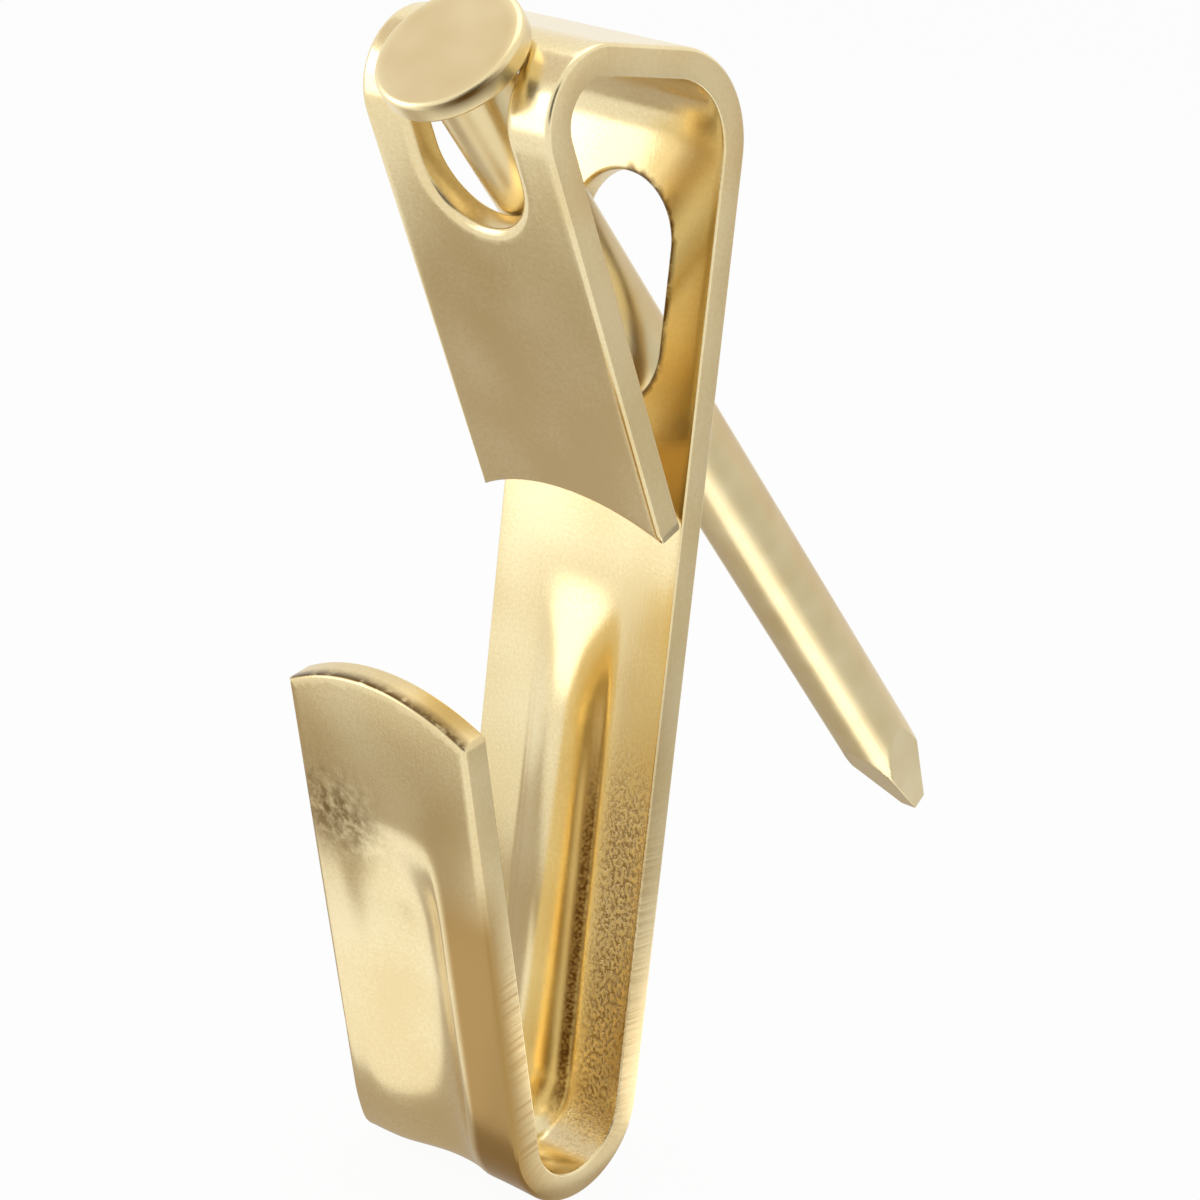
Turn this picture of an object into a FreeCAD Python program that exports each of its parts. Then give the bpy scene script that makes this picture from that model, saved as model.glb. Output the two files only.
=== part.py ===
import FreeCAD, Part
import os
from math import atan2, cos, radians, sin, tau

import Sketcher
from FreeCAD import Placement, Rotation, Vector

# Picture hook: one folded strip of brass-plated steel, and the nail that pins it to a wall.
# Millimetres and degrees. The wall is the plane Y = 0, the room lies on the -Y side, +Z is up and
# X runs across the strip. The origin is the point where the axis of the nail enters the wall.

SIZES = (
    ("strip_width", 9.5, "width of the strip"),
    ("strip_thickness", 1.2, "thickness of the sheet"),
    ("plate_length", 38.8, "flat back plate, from the U-bend to the rear bend of the loop"),
    ("hook_radius", 2.3, "inside radius of the U-bend that carries the picture wire"),
    ("lip_lean", 16.6, "forward lean of the lip"),
    ("lip_length", 19.3, "lip, from the U-bend to the corners of its end"),
    ("rear_radius", 3.1, "inside radius of the loop's rear bend"),
    ("top_length", 4.1, "flat top of the loop between its two bends"),
    ("top_rise", 3.8, "rise of the loop's top towards the front"),
    ("front_radius", 1.55, "inside radius of the loop's front bend"),
    ("tongue_slant", 28.5, "slant of the tongue, back towards the plate"),
    ("tongue_gap", 0.1, "gap left between the tongue's tip and the plate"),
    ("end_bow", 1.2, "bow of the parting cut, round on the lip and hollow on the tongue"),
    ("slot_width", 5.1, "width of both nail slots"),
    ("back_slot_length", 9.1, "length of the slot in the back plate"),
    ("rib_width", 4.1, "width of the stamped rib"),
    ("rib_height", 0.6, "height of the stamped rib"),
    ("rib_plate_run", 16.8, "rib on the plate, from the U-bend to the start of its round end"),
    ("rib_lip_run", 14.5, "rib on the lip, from the U-bend to the start of its round end"),
    ("nail_slope", 45.6, "slope of the nail below the horizontal"),
    ("nail_drop", 0.96, "distance of the nail's axis below the centre of the front bend"),
    ("nail_diameter", 3.25, "diameter of the shank"),
    ("nail_length", 50.4, "length of the nail over all"),
    ("grip_swell", 0.02, "extra radius of the shank where the heading dies gripped the wire"),
    ("grip_taper", 1.0, "length over which that extra radius fades, just behind the plate"),
    ("nail_clearance", 0.08, "play between the shank and the lower ends of the slots"),
    ("nail_headroom", 0.45, "play between the shank and the upper end of the front slot"),
    ("head_diameter", 5.9, "diameter of the nail's head"),
    ("head_thickness", 1.0, "thickness of the nail's head"),
    ("head_gap", 0.05, "gap between the head and the front bend that it bears on"),
    ("head_round", 0.25, "rounding of the head's rim"),
    ("neck_flare", 0.35, "flare of the shank under the head"),
    ("point_length", 6.3, "length of the four-sided point"),
    ("tip_width", 0.8, "width of the blunt tip"),
)

# Worked out from the sizes above: reach is measured forward from the wall and height up from the origin.
WORKED = (
    ("bend_reach", "Sizes.strip_thickness + Sizes.rear_radius"
                   " - (Sizes.rear_radius - Sizes.front_radius) * sin(Sizes.top_rise * 1 deg)"
                   " + Sizes.top_length * cos(Sizes.top_rise * 1 deg)"),
    ("bend_height", "Worked.bend_reach * tan(Sizes.nail_slope * 1 deg)"
                    " + Sizes.nail_drop / cos(Sizes.nail_slope * 1 deg)"),
    ("plate_top", "Worked.bend_height - Sizes.top_length * sin(Sizes.top_rise * 1 deg)"
                  " - (Sizes.rear_radius - Sizes.front_radius) * cos(Sizes.top_rise * 1 deg)"),
    ("plate_bottom", "Worked.plate_top - Sizes.plate_length"),
    ("tongue_length", "(Worked.bend_reach + Sizes.front_radius * cos(Sizes.tongue_slant * 1 deg)"
                      " - Sizes.strip_thickness - Sizes.tongue_gap) / sin(Sizes.tongue_slant * 1 deg)"),
    ("end_radius", "(Sizes.strip_width ^ 2 / 4 + Sizes.end_bow ^ 2) / (2 * Sizes.end_bow)"),
    ("rib_radius", "(Sizes.rib_width ^ 2 / 4 + Sizes.rib_height ^ 2) / (2 * Sizes.rib_height)"),
    ("nail_radius", "Sizes.nail_diameter / 2"),
    ("driven_radius", "Worked.nail_radius - Sizes.grip_swell"),
    ("nail_low", "Sizes.nail_drop + Worked.nail_radius"),
    ("nail_to_tongue", "90 - Sizes.tongue_slant - Sizes.nail_slope"),
    ("tongue_slot_end", "Worked.nail_low / sin(Worked.nail_to_tongue * 1 deg)"
                        " - Sizes.front_radius / tan(Worked.nail_to_tongue * 1 deg)"
                        " + Sizes.nail_clearance"),
    ("plate_slot_end", "Worked.nail_radius / cos(Sizes.nail_slope * 1 deg) + Sizes.nail_clearance"),
    ("head_under", "Worked.bend_reach / cos(Sizes.nail_slope * 1 deg)"
                   " + Sizes.nail_drop * tan(Sizes.nail_slope * 1 deg)"
                   " + Sizes.front_radius + Sizes.strip_thickness + Sizes.head_gap"),
    ("head_top", "Worked.head_under + Sizes.head_thickness"),
    ("tip_depth", "Sizes.nail_length - Worked.head_top"),
    ("wall_depth", "Worked.nail_radius * tan(Sizes.nail_slope * 1 deg) + Sizes.nail_clearance"),
)

X_AXIS = Vector(1, 0, 0)
SKETCH_NORMAL = Vector(0, 0, 1)
ORIGIN = (-1, 1)
UPRIGHT = -2
START, END, CENTRE = 1, 2, 3

document = FreeCAD.newDocument("picture_hook")


def fill_sheet(name, rows):
    """Write one sheet whose second column holds the values under their aliases."""
    sheet = document.addObject("Spreadsheet::Sheet", name)
    for number, (alias, value, meaning) in enumerate(rows, start=1):
        sheet.set(f"A{number}", meaning)
        sheet.set(f"B{number}", str(value))
        sheet.setAlias(f"B{number}", alias)
    document.recompute()
    return sheet


sizes = fill_sheet("Sizes", SIZES)
worked = fill_sheet("Worked", [(alias, "=" + rule.replace("Worked.", ""), alias) for alias, rule in WORKED])


def origin_plane(body, role):
    return next(feature for feature in body.Origin.OriginFeatures if feature.Role == role)


def new_sketch(body, name, role, base=(), turn=None):
    """A sketch on an origin plane of its body, moved by base formulas and turned about X."""
    sketch = body.newObject("Sketcher::SketchObject", name)
    sketch.AttachmentSupport = [(origin_plane(body, role), "")]
    sketch.MapMode = "FlatFace"
    if turn:
        sketch.AttachmentOffset = Placement(Vector(), Rotation(X_AXIS, 1))
        sketch.setExpression("AttachmentOffset.Rotation.Angle", f"({turn}) * 1 deg")
    for letter, formula in base:
        sketch.setExpression(f"AttachmentOffset.Base.{letter}", f"({formula}) * 1 mm")
    return sketch


def bind(sketch, name, formula, *constraint):
    """Add a dimension to a sketch and tie it to a formula."""
    index = sketch.addConstraint(Sketcher.Constraint(*constraint))
    sketch.renameConstraint(index, name)
    sketch.setExpression(f"Constraints.{name}", formula)


def require(sketch, *constraints):
    for constraint in constraints:
        sketch.addConstraint(Sketcher.Constraint(*constraint))


def line(start, end):
    return Part.LineSegment(Vector(*start), Vector(*end))


def arc(centre, radius, first, last):
    """Arc drawn counter-clockwise between two angles in degrees."""
    circle = Part.Circle(Vector(*centre), SKETCH_NORMAL, radius)
    return Part.ArcOfCircle(circle, radians(first), radians(last))


def on_circle(centre, radius, angle):
    return (centre[0] + radius * cos(radians(angle)), centre[1] + radius * sin(radians(angle)))


def step(point, length, angle):
    return on_circle(point, length, angle)


def join_polygon(sketch, count):
    """Join the ends of count edges, drawn head to tail, into a closed outline."""
    for edge in range(count):
        require(sketch, ("Coincident", edge, END, (edge + 1) % count, START))


def pad(body, name, sketch, length):
    feature = body.newObject("PartDesign::Pad", name)
    feature.Profile = sketch
    feature.SideType = "Symmetric"
    feature.setExpression("Length", length)
    return feature


def pocket_forward(body, name, sketch, length):
    """Cut from the sketch towards its own normal."""
    feature = body.newObject("PartDesign::Pocket", name)
    feature.Profile = sketch
    feature.Reversed = True
    feature.setExpression("Length", length)
    return feature


def strip_edges(inset):
    """One face of the folded strip in side view, from the lip's end to the tongue's tip."""
    outer = sizes.strip_thickness - inset
    hook_centre = (-sizes.strip_thickness - sizes.hook_radius, worked.plate_bottom)
    rear_centre = (-sizes.strip_thickness - sizes.rear_radius, worked.plate_top)
    front_centre = (-worked.bend_reach, worked.bend_height)
    lip_side = 180 + sizes.lip_lean
    top_side = 90 - sizes.top_rise
    tongue_side = 180 + sizes.tongue_slant
    hook = sizes.hook_radius + outer
    rear = sizes.rear_radius + outer
    front = sizes.front_radius + outer
    lip_foot = on_circle(hook_centre, hook, lip_side)
    lip_end = step(lip_foot, sizes.lip_length + sizes.end_bow, lip_side - 90)
    tongue_foot = on_circle(front_centre, front, tongue_side)
    tongue_tip = step(tongue_foot, worked.tongue_length, tongue_side + 90)
    return [
        line(lip_end, lip_foot),
        arc(hook_centre, hook, lip_side, 360),
        line(on_circle(hook_centre, hook, 0), on_circle(rear_centre, rear, 0)),
        arc(rear_centre, rear, 0, top_side),
        line(on_circle(rear_centre, rear, top_side), on_circle(front_centre, front, top_side)),
        arc(front_centre, front, top_side, tongue_side),
        line(tongue_foot, tongue_tip),
    ]


def draw_side_view(sketch):
    """Closed side view of the strip: outer face, inner face and the two square ends."""
    outer, inner = strip_edges(0), strip_edges(sizes.strip_thickness)
    sketch.addGeometry(outer + inner, False)
    lip, hook, plate, rear, top, front, tongue = range(7)
    step_in = len(outer)
    tip_cut = sketch.addGeometry(line(outer[tongue].EndPoint[:2], inner[tongue].EndPoint[:2]), False)
    lip_cut = sketch.addGeometry(line(inner[lip].StartPoint[:2], outer[lip].StartPoint[:2]), False)
    for first in (0, step_in):
        for edge in range(first, first + tongue):
            require(sketch, ("Tangent", edge, END, edge + 1, START))
    for name, bend in (("hook", hook), ("rear", rear), ("front", front)):
        require(sketch, ("Coincident", bend, CENTRE, bend + step_in, CENTRE))
        inside = f"Sizes.{name}_radius"
        bind(sketch, f"{name}_inside", inside, "Radius", bend + step_in, getattr(sizes, f"{name}_radius"))
        bind(sketch, f"{name}_outside", f"{inside} + Sizes.strip_thickness",
             "Radius", bend, outer[bend].Radius)
    require(sketch,
            ("Vertical", plate),
            ("PointOnObject", plate, START, UPRIGHT),
            ("Parallel", lip + step_in, lip),
            ("Parallel", tongue + step_in, tongue),
            ("Coincident", tip_cut, START, tongue, END),
            ("Coincident", tip_cut, END, tongue + step_in, END),
            ("Perpendicular", tip_cut, tongue),
            ("Coincident", lip_cut, START, lip + step_in, START),
            ("Coincident", lip_cut, END, lip, START),
            ("Perpendicular", lip_cut, lip))
    bind(sketch, "lip_angle", "(Sizes.lip_lean - 90) * 1 deg", "Angle", lip, radians(sizes.lip_lean - 90))
    bind(sketch, "top_angle", "(180 - Sizes.top_rise) * 1 deg", "Angle", top, radians(180 - sizes.top_rise))
    bind(sketch, "tongue_angle", "(Sizes.tongue_slant - 90) * 1 deg",
         "Angle", tongue, radians(sizes.tongue_slant - 90))
    bind(sketch, "lip_reach", "Sizes.lip_length + Sizes.end_bow", "Distance", lip, outer[lip].length())
    bind(sketch, "plate_span", "Sizes.plate_length", "Distance", plate, outer[plate].length())
    bind(sketch, "top_span", "Sizes.top_length", "Distance", top, outer[top].length())
    bind(sketch, "tip_stand_off", "Sizes.strip_thickness + Sizes.tongue_gap",
         "DistanceX", tongue + step_in, END, *ORIGIN, -inner[tongue].EndPoint.x)
    bind(sketch, "loop_height", "Worked.bend_height",
         "DistanceY", *ORIGIN, front, CENTRE, worked.bend_height)


def draw_obround(sketch, low, high):
    """Upright slot between two formulas for the heights of its round ends."""
    radius = sizes.slot_width / 2
    bottom, top = -sizes.slot_width, sizes.slot_width
    sketch.addGeometry([
        arc((0, top), radius, 0, 180),
        line((-radius, top), (-radius, bottom)),
        arc((0, bottom), radius, 180, 360),
        line((radius, bottom), (radius, top)),
    ], False)
    for edge in range(4):
        require(sketch, ("Tangent", edge, END, (edge + 1) % 4, START))
    require(sketch,
            ("PointOnObject", 0, CENTRE, UPRIGHT),
            ("PointOnObject", 2, CENTRE, UPRIGHT),
            ("Equal", 0, 2))
    bind(sketch, "half_width", "Sizes.slot_width / 2", "Radius", 0, radius)
    bind(sketch, "upper_end", f"{high} - Sizes.slot_width / 2", "DistanceY", *ORIGIN, 0, CENTRE, top)
    bind(sketch, "lower_end", f"{low} + Sizes.slot_width / 2", "DistanceY", *ORIGIN, 2, CENTRE, bottom)


def draw_open_slot(sketch, upward, round_end, flat_end):
    """Slot with one round and one flat end, between two formulas for the heights of those ends."""
    radius = sizes.slot_width / 2
    side = 1 if upward else -1
    centre, flat = side * sizes.slot_width, -side * sizes.slot_width
    sketch.addGeometry([
        arc((0, centre), radius, 90 - side * 90, 270 - side * 90),
        line((-side * radius, centre), (-side * radius, flat)),
        line((-side * radius, flat), (side * radius, flat)),
        line((side * radius, flat), (side * radius, centre)),
    ], False)
    require(sketch,
            ("Tangent", 0, END, 1, START), ("Coincident", 1, END, 2, START),
            ("Coincident", 2, END, 3, START), ("Tangent", 3, END, 0, START),
            ("Vertical", 1), ("Horizontal", 2), ("Vertical", 3),
            ("PointOnObject", 0, CENTRE, UPRIGHT))
    bind(sketch, "half_width", "Sizes.slot_width / 2", "Radius", 0, radius)
    bind(sketch, "round_end", f"{round_end} - {side} * Sizes.slot_width / 2",
         "DistanceY", *ORIGIN, 0, CENTRE, centre)
    bind(sketch, "flat_end", flat_end, "DistanceY", *ORIGIN, 2, START, flat)


def draw_lip_trim(sketch):
    """What the round parting cut takes off the lip's end, seen square on."""
    reach = 0.6 * sizes.strip_width
    crown = sizes.lip_length + sizes.end_bow
    centre = (0, crown - worked.end_radius)
    fall = (worked.end_radius ** 2 - reach ** 2) ** 0.5
    corner = centre[1] + fall
    rim = corner + sizes.strip_width / 2
    first = atan2(fall, reach) * 360 / tau
    sketch.addGeometry([
        arc(centre, worked.end_radius, first, 180 - first),
        line((-reach, corner), (-reach, rim)),
        line((-reach, rim), (reach, rim)),
        line((reach, rim), (reach, corner)),
    ], False)
    join_polygon(sketch, 4)
    require(sketch,
            ("PointOnObject", 0, CENTRE, UPRIGHT), ("Horizontal", 0, START, 0, END),
            ("Vertical", 1), ("Horizontal", 2), ("Vertical", 3))
    bind(sketch, "bow_radius", "Worked.end_radius", "Radius", 0, worked.end_radius)
    bind(sketch, "cut_width", "1.2 * Sizes.strip_width", "DistanceX", 0, END, 0, START, 2 * reach)
    bind(sketch, "cut_depth", "Sizes.strip_width / 2", "DistanceY", 1, START, 1, END, sizes.strip_width / 2)
    bind(sketch, "bow_centre", "Sizes.lip_length + Sizes.end_bow - Worked.end_radius",
         "DistanceY", *ORIGIN, 0, CENTRE, centre[1])


def draw_tongue_trim(sketch):
    """The hollow that the parting cut leaves in the tongue's end: a shallow segment of a circle."""
    half = sizes.strip_width / 2
    tip = -worked.tongue_length
    centre = (0, tip + sizes.end_bow - worked.end_radius)
    first = atan2(tip - centre[1], half) * 360 / tau
    sketch.addGeometry([
        arc(centre, worked.end_radius, first, 180 - first),
        line((-half, tip), (half, tip)),
    ], False)
    join_polygon(sketch, 2)
    require(sketch, ("PointOnObject", 0, CENTRE, UPRIGHT), ("Horizontal", 1))
    bind(sketch, "bow_radius", "Worked.end_radius", "Radius", 0, worked.end_radius)
    bind(sketch, "tip_width", "Sizes.strip_width", "DistanceX", 1, START, 1, END, sizes.strip_width)
    bind(sketch, "tip_height", "-Worked.tongue_length", "DistanceY", *ORIGIN, 1, END, tip)


def draw_rib_path(sketch):
    """Line that the rib follows on the outer face: down the plate, round the U-bend and up the lip."""
    radius = sizes.hook_radius + sizes.strip_thickness
    centre = (-radius, worked.plate_bottom)
    lip_side = 180 + sizes.lip_lean
    lip_foot = on_circle(centre, radius, lip_side)
    sketch.addGeometry([
        line((0, worked.plate_bottom + sizes.rib_plate_run), (0, worked.plate_bottom)),
        arc(centre, radius, lip_side, 360),
        line(lip_foot, step(lip_foot, sizes.rib_lip_run, lip_side - 90)),
    ], False)
    require(sketch,
            ("Tangent", 0, END, 1, END),
            ("Tangent", 1, START, 2, START),
            ("Vertical", 0),
            ("PointOnObject", 0, START, UPRIGHT))
    bind(sketch, "bend", "Sizes.hook_radius + Sizes.strip_thickness", "Radius", 1, radius)
    bind(sketch, "bend_level", "Worked.plate_bottom", "DistanceY", *ORIGIN, 1, CENTRE, worked.plate_bottom)
    bind(sketch, "plate_run", "Sizes.rib_plate_run", "Distance", 0, sizes.rib_plate_run)
    bind(sketch, "lip_run", "Sizes.rib_lip_run", "Distance", 2, sizes.rib_lip_run)
    bind(sketch, "lip_angle", "(90 + Sizes.lip_lean) * 1 deg", "Angle", 2, radians(90 + sizes.lip_lean))


def draw_rib_section(sketch, chord, backing):
    """Section of the rib: a segment of a circle below its chord, with a backing above it."""
    half = sizes.rib_width / 2
    lift = worked.rib_radius - sizes.rib_height
    level = -sizes.strip_thickness
    first = atan2(-lift, -half) * 360 / tau
    last = atan2(-lift, half) * 360 / tau
    back = level + sizes.strip_thickness / 2
    sketch.addGeometry([
        arc((0, level + lift), worked.rib_radius, first, last),
        line((half, level), (half, back)),
        line((half, back), (-half, back)),
        line((-half, back), (-half, level)),
    ], False)
    join_polygon(sketch, 4)
    require(sketch,
            ("PointOnObject", 0, CENTRE, UPRIGHT), ("Horizontal", 0, START, 0, END),
            ("Vertical", 1), ("Horizontal", 2), ("Vertical", 3))
    bind(sketch, "bulge", "Worked.rib_radius", "Radius", 0, worked.rib_radius)
    bind(sketch, "width", "Sizes.rib_width", "DistanceX", 0, START, 0, END, sizes.rib_width)
    bind(sketch, "level", chord, "DistanceY", *ORIGIN, 0, END, level)
    bind(sketch, "backing", backing, "DistanceY", 1, START, 1, END, back - level)


def draw_rib_end(sketch, chord, backing):
    """Right half of the rib's section, to be turned about the upright axis into its round end."""
    half = sizes.rib_width / 2
    lift = worked.rib_radius - sizes.rib_height
    level = -sizes.strip_thickness
    last = atan2(-lift, half) * 360 / tau
    back = level + sizes.strip_thickness / 2
    sketch.addGeometry([
        arc((0, level + lift), worked.rib_radius, -90, last),
        line((half, level), (half, back)),
        line((half, back), (0, back)),
        line((0, back), (0, level - sizes.rib_height)),
    ], False)
    join_polygon(sketch, 4)
    require(sketch,
            ("PointOnObject", 0, CENTRE, UPRIGHT),
            ("PointOnObject", 3, END, UPRIGHT),
            ("PointOnObject", 3, START, UPRIGHT),
            ("Vertical", 1), ("Horizontal", 2))
    bind(sketch, "bulge", "Worked.rib_radius", "Radius", 0, worked.rib_radius)
    bind(sketch, "half_width", "Sizes.rib_width / 2", "DistanceX", *ORIGIN, 0, END, half)
    bind(sketch, "level", chord, "DistanceY", *ORIGIN, 0, END, level)
    bind(sketch, "backing", backing, "DistanceY", 1, START, 1, END, back - level)


RIB_FEATURES = {"ridge": ("AdditivePipe", "Revolution"), "groove": ("SubtractivePipe", "Groove")}
PLATE_END = (("z", "Worked.plate_bottom + Sizes.rib_plate_run"),)
LIP_END = (
    ("y", "-Sizes.strip_thickness - Sizes.hook_radius - Sizes.rib_lip_run * sin(Sizes.lip_lean * 1 deg)"
          " - (Sizes.hook_radius + Sizes.strip_thickness) * cos(Sizes.lip_lean * 1 deg)"),
    ("z", "Worked.plate_bottom + Sizes.rib_lip_run * cos(Sizes.lip_lean * 1 deg)"
          " - (Sizes.hook_radius + Sizes.strip_thickness) * sin(Sizes.lip_lean * 1 deg)"),
)


def press_rib(body, path, kind, chord, backing):
    """One side of the stamped rib: a swept section with a round end on the plate and on the lip."""
    pipe_type, turn_type = RIB_FEATURES[kind]
    section = new_sketch(body, f"{kind}_section", "XY_Plane", PLATE_END)
    draw_rib_section(section, chord, backing)
    pipe = body.newObject(f"PartDesign::{pipe_type}", f"{kind}_run")
    pipe.Profile = section
    pipe.Spine = (path, ["Edge1", "Edge2", "Edge3"])
    for place, base, turn, reversed_turn in (("plate", PLATE_END, None, True),
                                             ("lip", LIP_END, "180 + Sizes.lip_lean", False)):
        half = new_sketch(body, f"{kind}_{place}_half", "XY_Plane", base, turn)
        draw_rib_end(half, chord, backing)
        cap = body.newObject(f"PartDesign::{turn_type}", f"{kind}_{place}_end")
        cap.Profile = half
        cap.ReferenceAxis = (half, ["V_Axis"])
        cap.Angle = 180
        cap.Reversed = reversed_turn


def make_hook():
    """The folded strip, in the order of the press tool: fold line, parting cuts, slots and rib."""
    body = document.addObject("PartDesign::Body", "hook")
    body.Label = "hook"
    side_view = new_sketch(body, "side_view", "YZ_Plane")
    draw_side_view(side_view)
    pad(body, "folded_strip", side_view, "Sizes.strip_width")

    lip_frame = (("y", "Worked.plate_bottom"), ("z", "Sizes.strip_thickness + Sizes.hook_radius"))
    lip_trim = new_sketch(body, "lip_trim", "XZ_Plane", lip_frame, "Sizes.lip_lean")
    draw_lip_trim(lip_trim)
    pocket_forward(body, "lip_end", lip_trim, "Sizes.hook_radius + 2 * Sizes.strip_thickness")

    inner_face = (
        ("y", "Worked.bend_height - Sizes.front_radius * sin(Sizes.tongue_slant * 1 deg)"),
        ("z", "Worked.bend_reach + Sizes.front_radius * cos(Sizes.tongue_slant * 1 deg)"),
    )
    tongue_trim = new_sketch(body, "tongue_trim", "XZ_Plane", inner_face, "Sizes.tongue_slant")
    draw_tongue_trim(tongue_trim)
    pocket_forward(body, "tongue_end", tongue_trim, "2 * Sizes.strip_thickness")

    plate_slot = new_sketch(body, "plate_slot", "XZ_Plane")
    draw_obround(plate_slot, "-Worked.plate_slot_end", "Sizes.back_slot_length - Worked.plate_slot_end")
    pocket_forward(body, "back_slot", plate_slot, "1.25 * Sizes.strip_thickness")

    front_centre = (("y", "Worked.bend_height"), ("z", "Worked.bend_reach"))
    bend_slot = new_sketch(body, "bend_slot", "XZ_Plane", front_centre, "-Sizes.nail_slope")
    draw_open_slot(bend_slot, True, "Worked.nail_radius + Sizes.nail_headroom - Sizes.nail_drop",
                   "-Sizes.front_radius - 2 * Sizes.strip_thickness")
    pocket_forward(body, "front_slot_over_bend", bend_slot,
                   "Sizes.front_radius + 2 * Sizes.strip_thickness")
    inside_tongue = (
        ("y", "Worked.bend_height - 0.6 * Sizes.front_radius * sin(Sizes.tongue_slant * 1 deg)"),
        ("z", "Worked.bend_reach + 0.6 * Sizes.front_radius * cos(Sizes.tongue_slant * 1 deg)"),
    )
    tongue_slot = new_sketch(body, "tongue_slot", "XZ_Plane", inside_tongue, "Sizes.tongue_slant")
    draw_open_slot(tongue_slot, False, "-Worked.tongue_slot_end", "0")
    pocket_forward(body, "front_slot_on_tongue", tongue_slot,
                   "Sizes.front_radius + 2 * Sizes.strip_thickness")

    rib_path = new_sketch(body, "rib_path", "YZ_Plane")
    draw_rib_path(rib_path)
    press_rib(body, rib_path, "ridge", "-Sizes.strip_thickness", "Sizes.strip_thickness / 4")
    press_rib(body, rib_path, "groove", "0", "Sizes.strip_thickness")
    return body


def draw_nail(sketch):
    """Half section of the nail along its axis, with the head up and the blunt tip down."""
    shank, driven = worked.nail_radius, worked.driven_radius
    head = sizes.head_diameter / 2
    flare = shank + sizes.neck_flare
    neck = worked.head_under - sizes.neck_flare
    fade = worked.wall_depth + sizes.grip_taper
    corners = [(0, -worked.tip_depth), (driven, -worked.tip_depth), (driven, -fade),
               (shank, -worked.wall_depth), (shank, neck), (flare, worked.head_under),
               (head, worked.head_under), (head, worked.head_top), (0, worked.head_top)]
    sketch.addGeometry([line(a, b) for a, b in zip(corners, corners[1:] + corners[:1])], False)
    join_polygon(sketch, len(corners))
    tip, driven, taper, held, cone, under, rim, face, axis = range(len(corners))
    require(sketch,
            ("PointOnObject", axis, START, UPRIGHT), ("PointOnObject", axis, END, UPRIGHT),
            ("Horizontal", tip), ("Vertical", driven), ("Vertical", held),
            ("Horizontal", under), ("Vertical", rim), ("Horizontal", face))
    bind(sketch, "driven", "Worked.driven_radius", "DistanceX", tip, START, tip, END, worked.driven_radius)
    bind(sketch, "swell", "Sizes.grip_swell", "DistanceX", taper, START, taper, END, sizes.grip_swell)
    bind(sketch, "fade", "Sizes.grip_taper", "DistanceY", taper, START, taper, END, sizes.grip_taper)
    bind(sketch, "flare", "Sizes.neck_flare", "DistanceX", cone, START, cone, END, sizes.neck_flare)
    bind(sketch, "flare_rise", "Sizes.neck_flare", "DistanceY", cone, START, cone, END, sizes.neck_flare)
    bind(sketch, "head", "Sizes.head_diameter / 2", "DistanceX", face, END, face, START, head)
    bind(sketch, "thickness", "Sizes.head_thickness",
         "DistanceY", rim, START, rim, END, sizes.head_thickness)
    bind(sketch, "under_level", "Worked.head_under", "DistanceY", *ORIGIN, under, START, worked.head_under)
    bind(sketch, "wall_level", "Worked.wall_depth", "DistanceY", taper, END, *ORIGIN, worked.wall_depth)
    bind(sketch, "tip_level", "Worked.tip_depth", "DistanceY", tip, END, *ORIGIN, worked.tip_depth)


def draw_facet(sketch):
    """What one flat of the four-sided point takes off the shank."""
    shank = worked.driven_radius
    tip = -worked.tip_depth
    shoulder = tip + sizes.point_length
    corners = [(shank, shoulder), (sizes.tip_width / 2, tip), (2 * shank, tip), (2 * shank, shoulder)]
    sketch.addGeometry([line(a, b) for a, b in zip(corners, corners[1:] + corners[:1])], False)
    join_polygon(sketch, len(corners))
    flat, base, outside, ledge = range(len(corners))
    require(sketch, ("Horizontal", base), ("Vertical", outside), ("Horizontal", ledge))
    bind(sketch, "shank", "Worked.driven_radius", "DistanceX", *ORIGIN, flat, START, shank)
    bind(sketch, "tip", "Sizes.tip_width / 2", "DistanceX", *ORIGIN, flat, END, sizes.tip_width / 2)
    bind(sketch, "outside", "2 * Worked.driven_radius", "DistanceX", *ORIGIN, outside, START, 2 * shank)
    bind(sketch, "length", "Sizes.point_length", "DistanceY", flat, END, flat, START, sizes.point_length)
    bind(sketch, "tip_level", "Worked.tip_depth", "DistanceY", flat, END, *ORIGIN, worked.tip_depth)


def rim_edges(shape):
    """Names of the two round edges at the rim of the nail's head."""
    names = []
    for number, edge in enumerate(shape.Edges, start=1):
        if isinstance(edge.Curve, Part.Circle) and abs(edge.Curve.Radius - sizes.head_diameter / 2) < 1e-6:
            names.append(f"Edge{number}")
    return names


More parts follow.
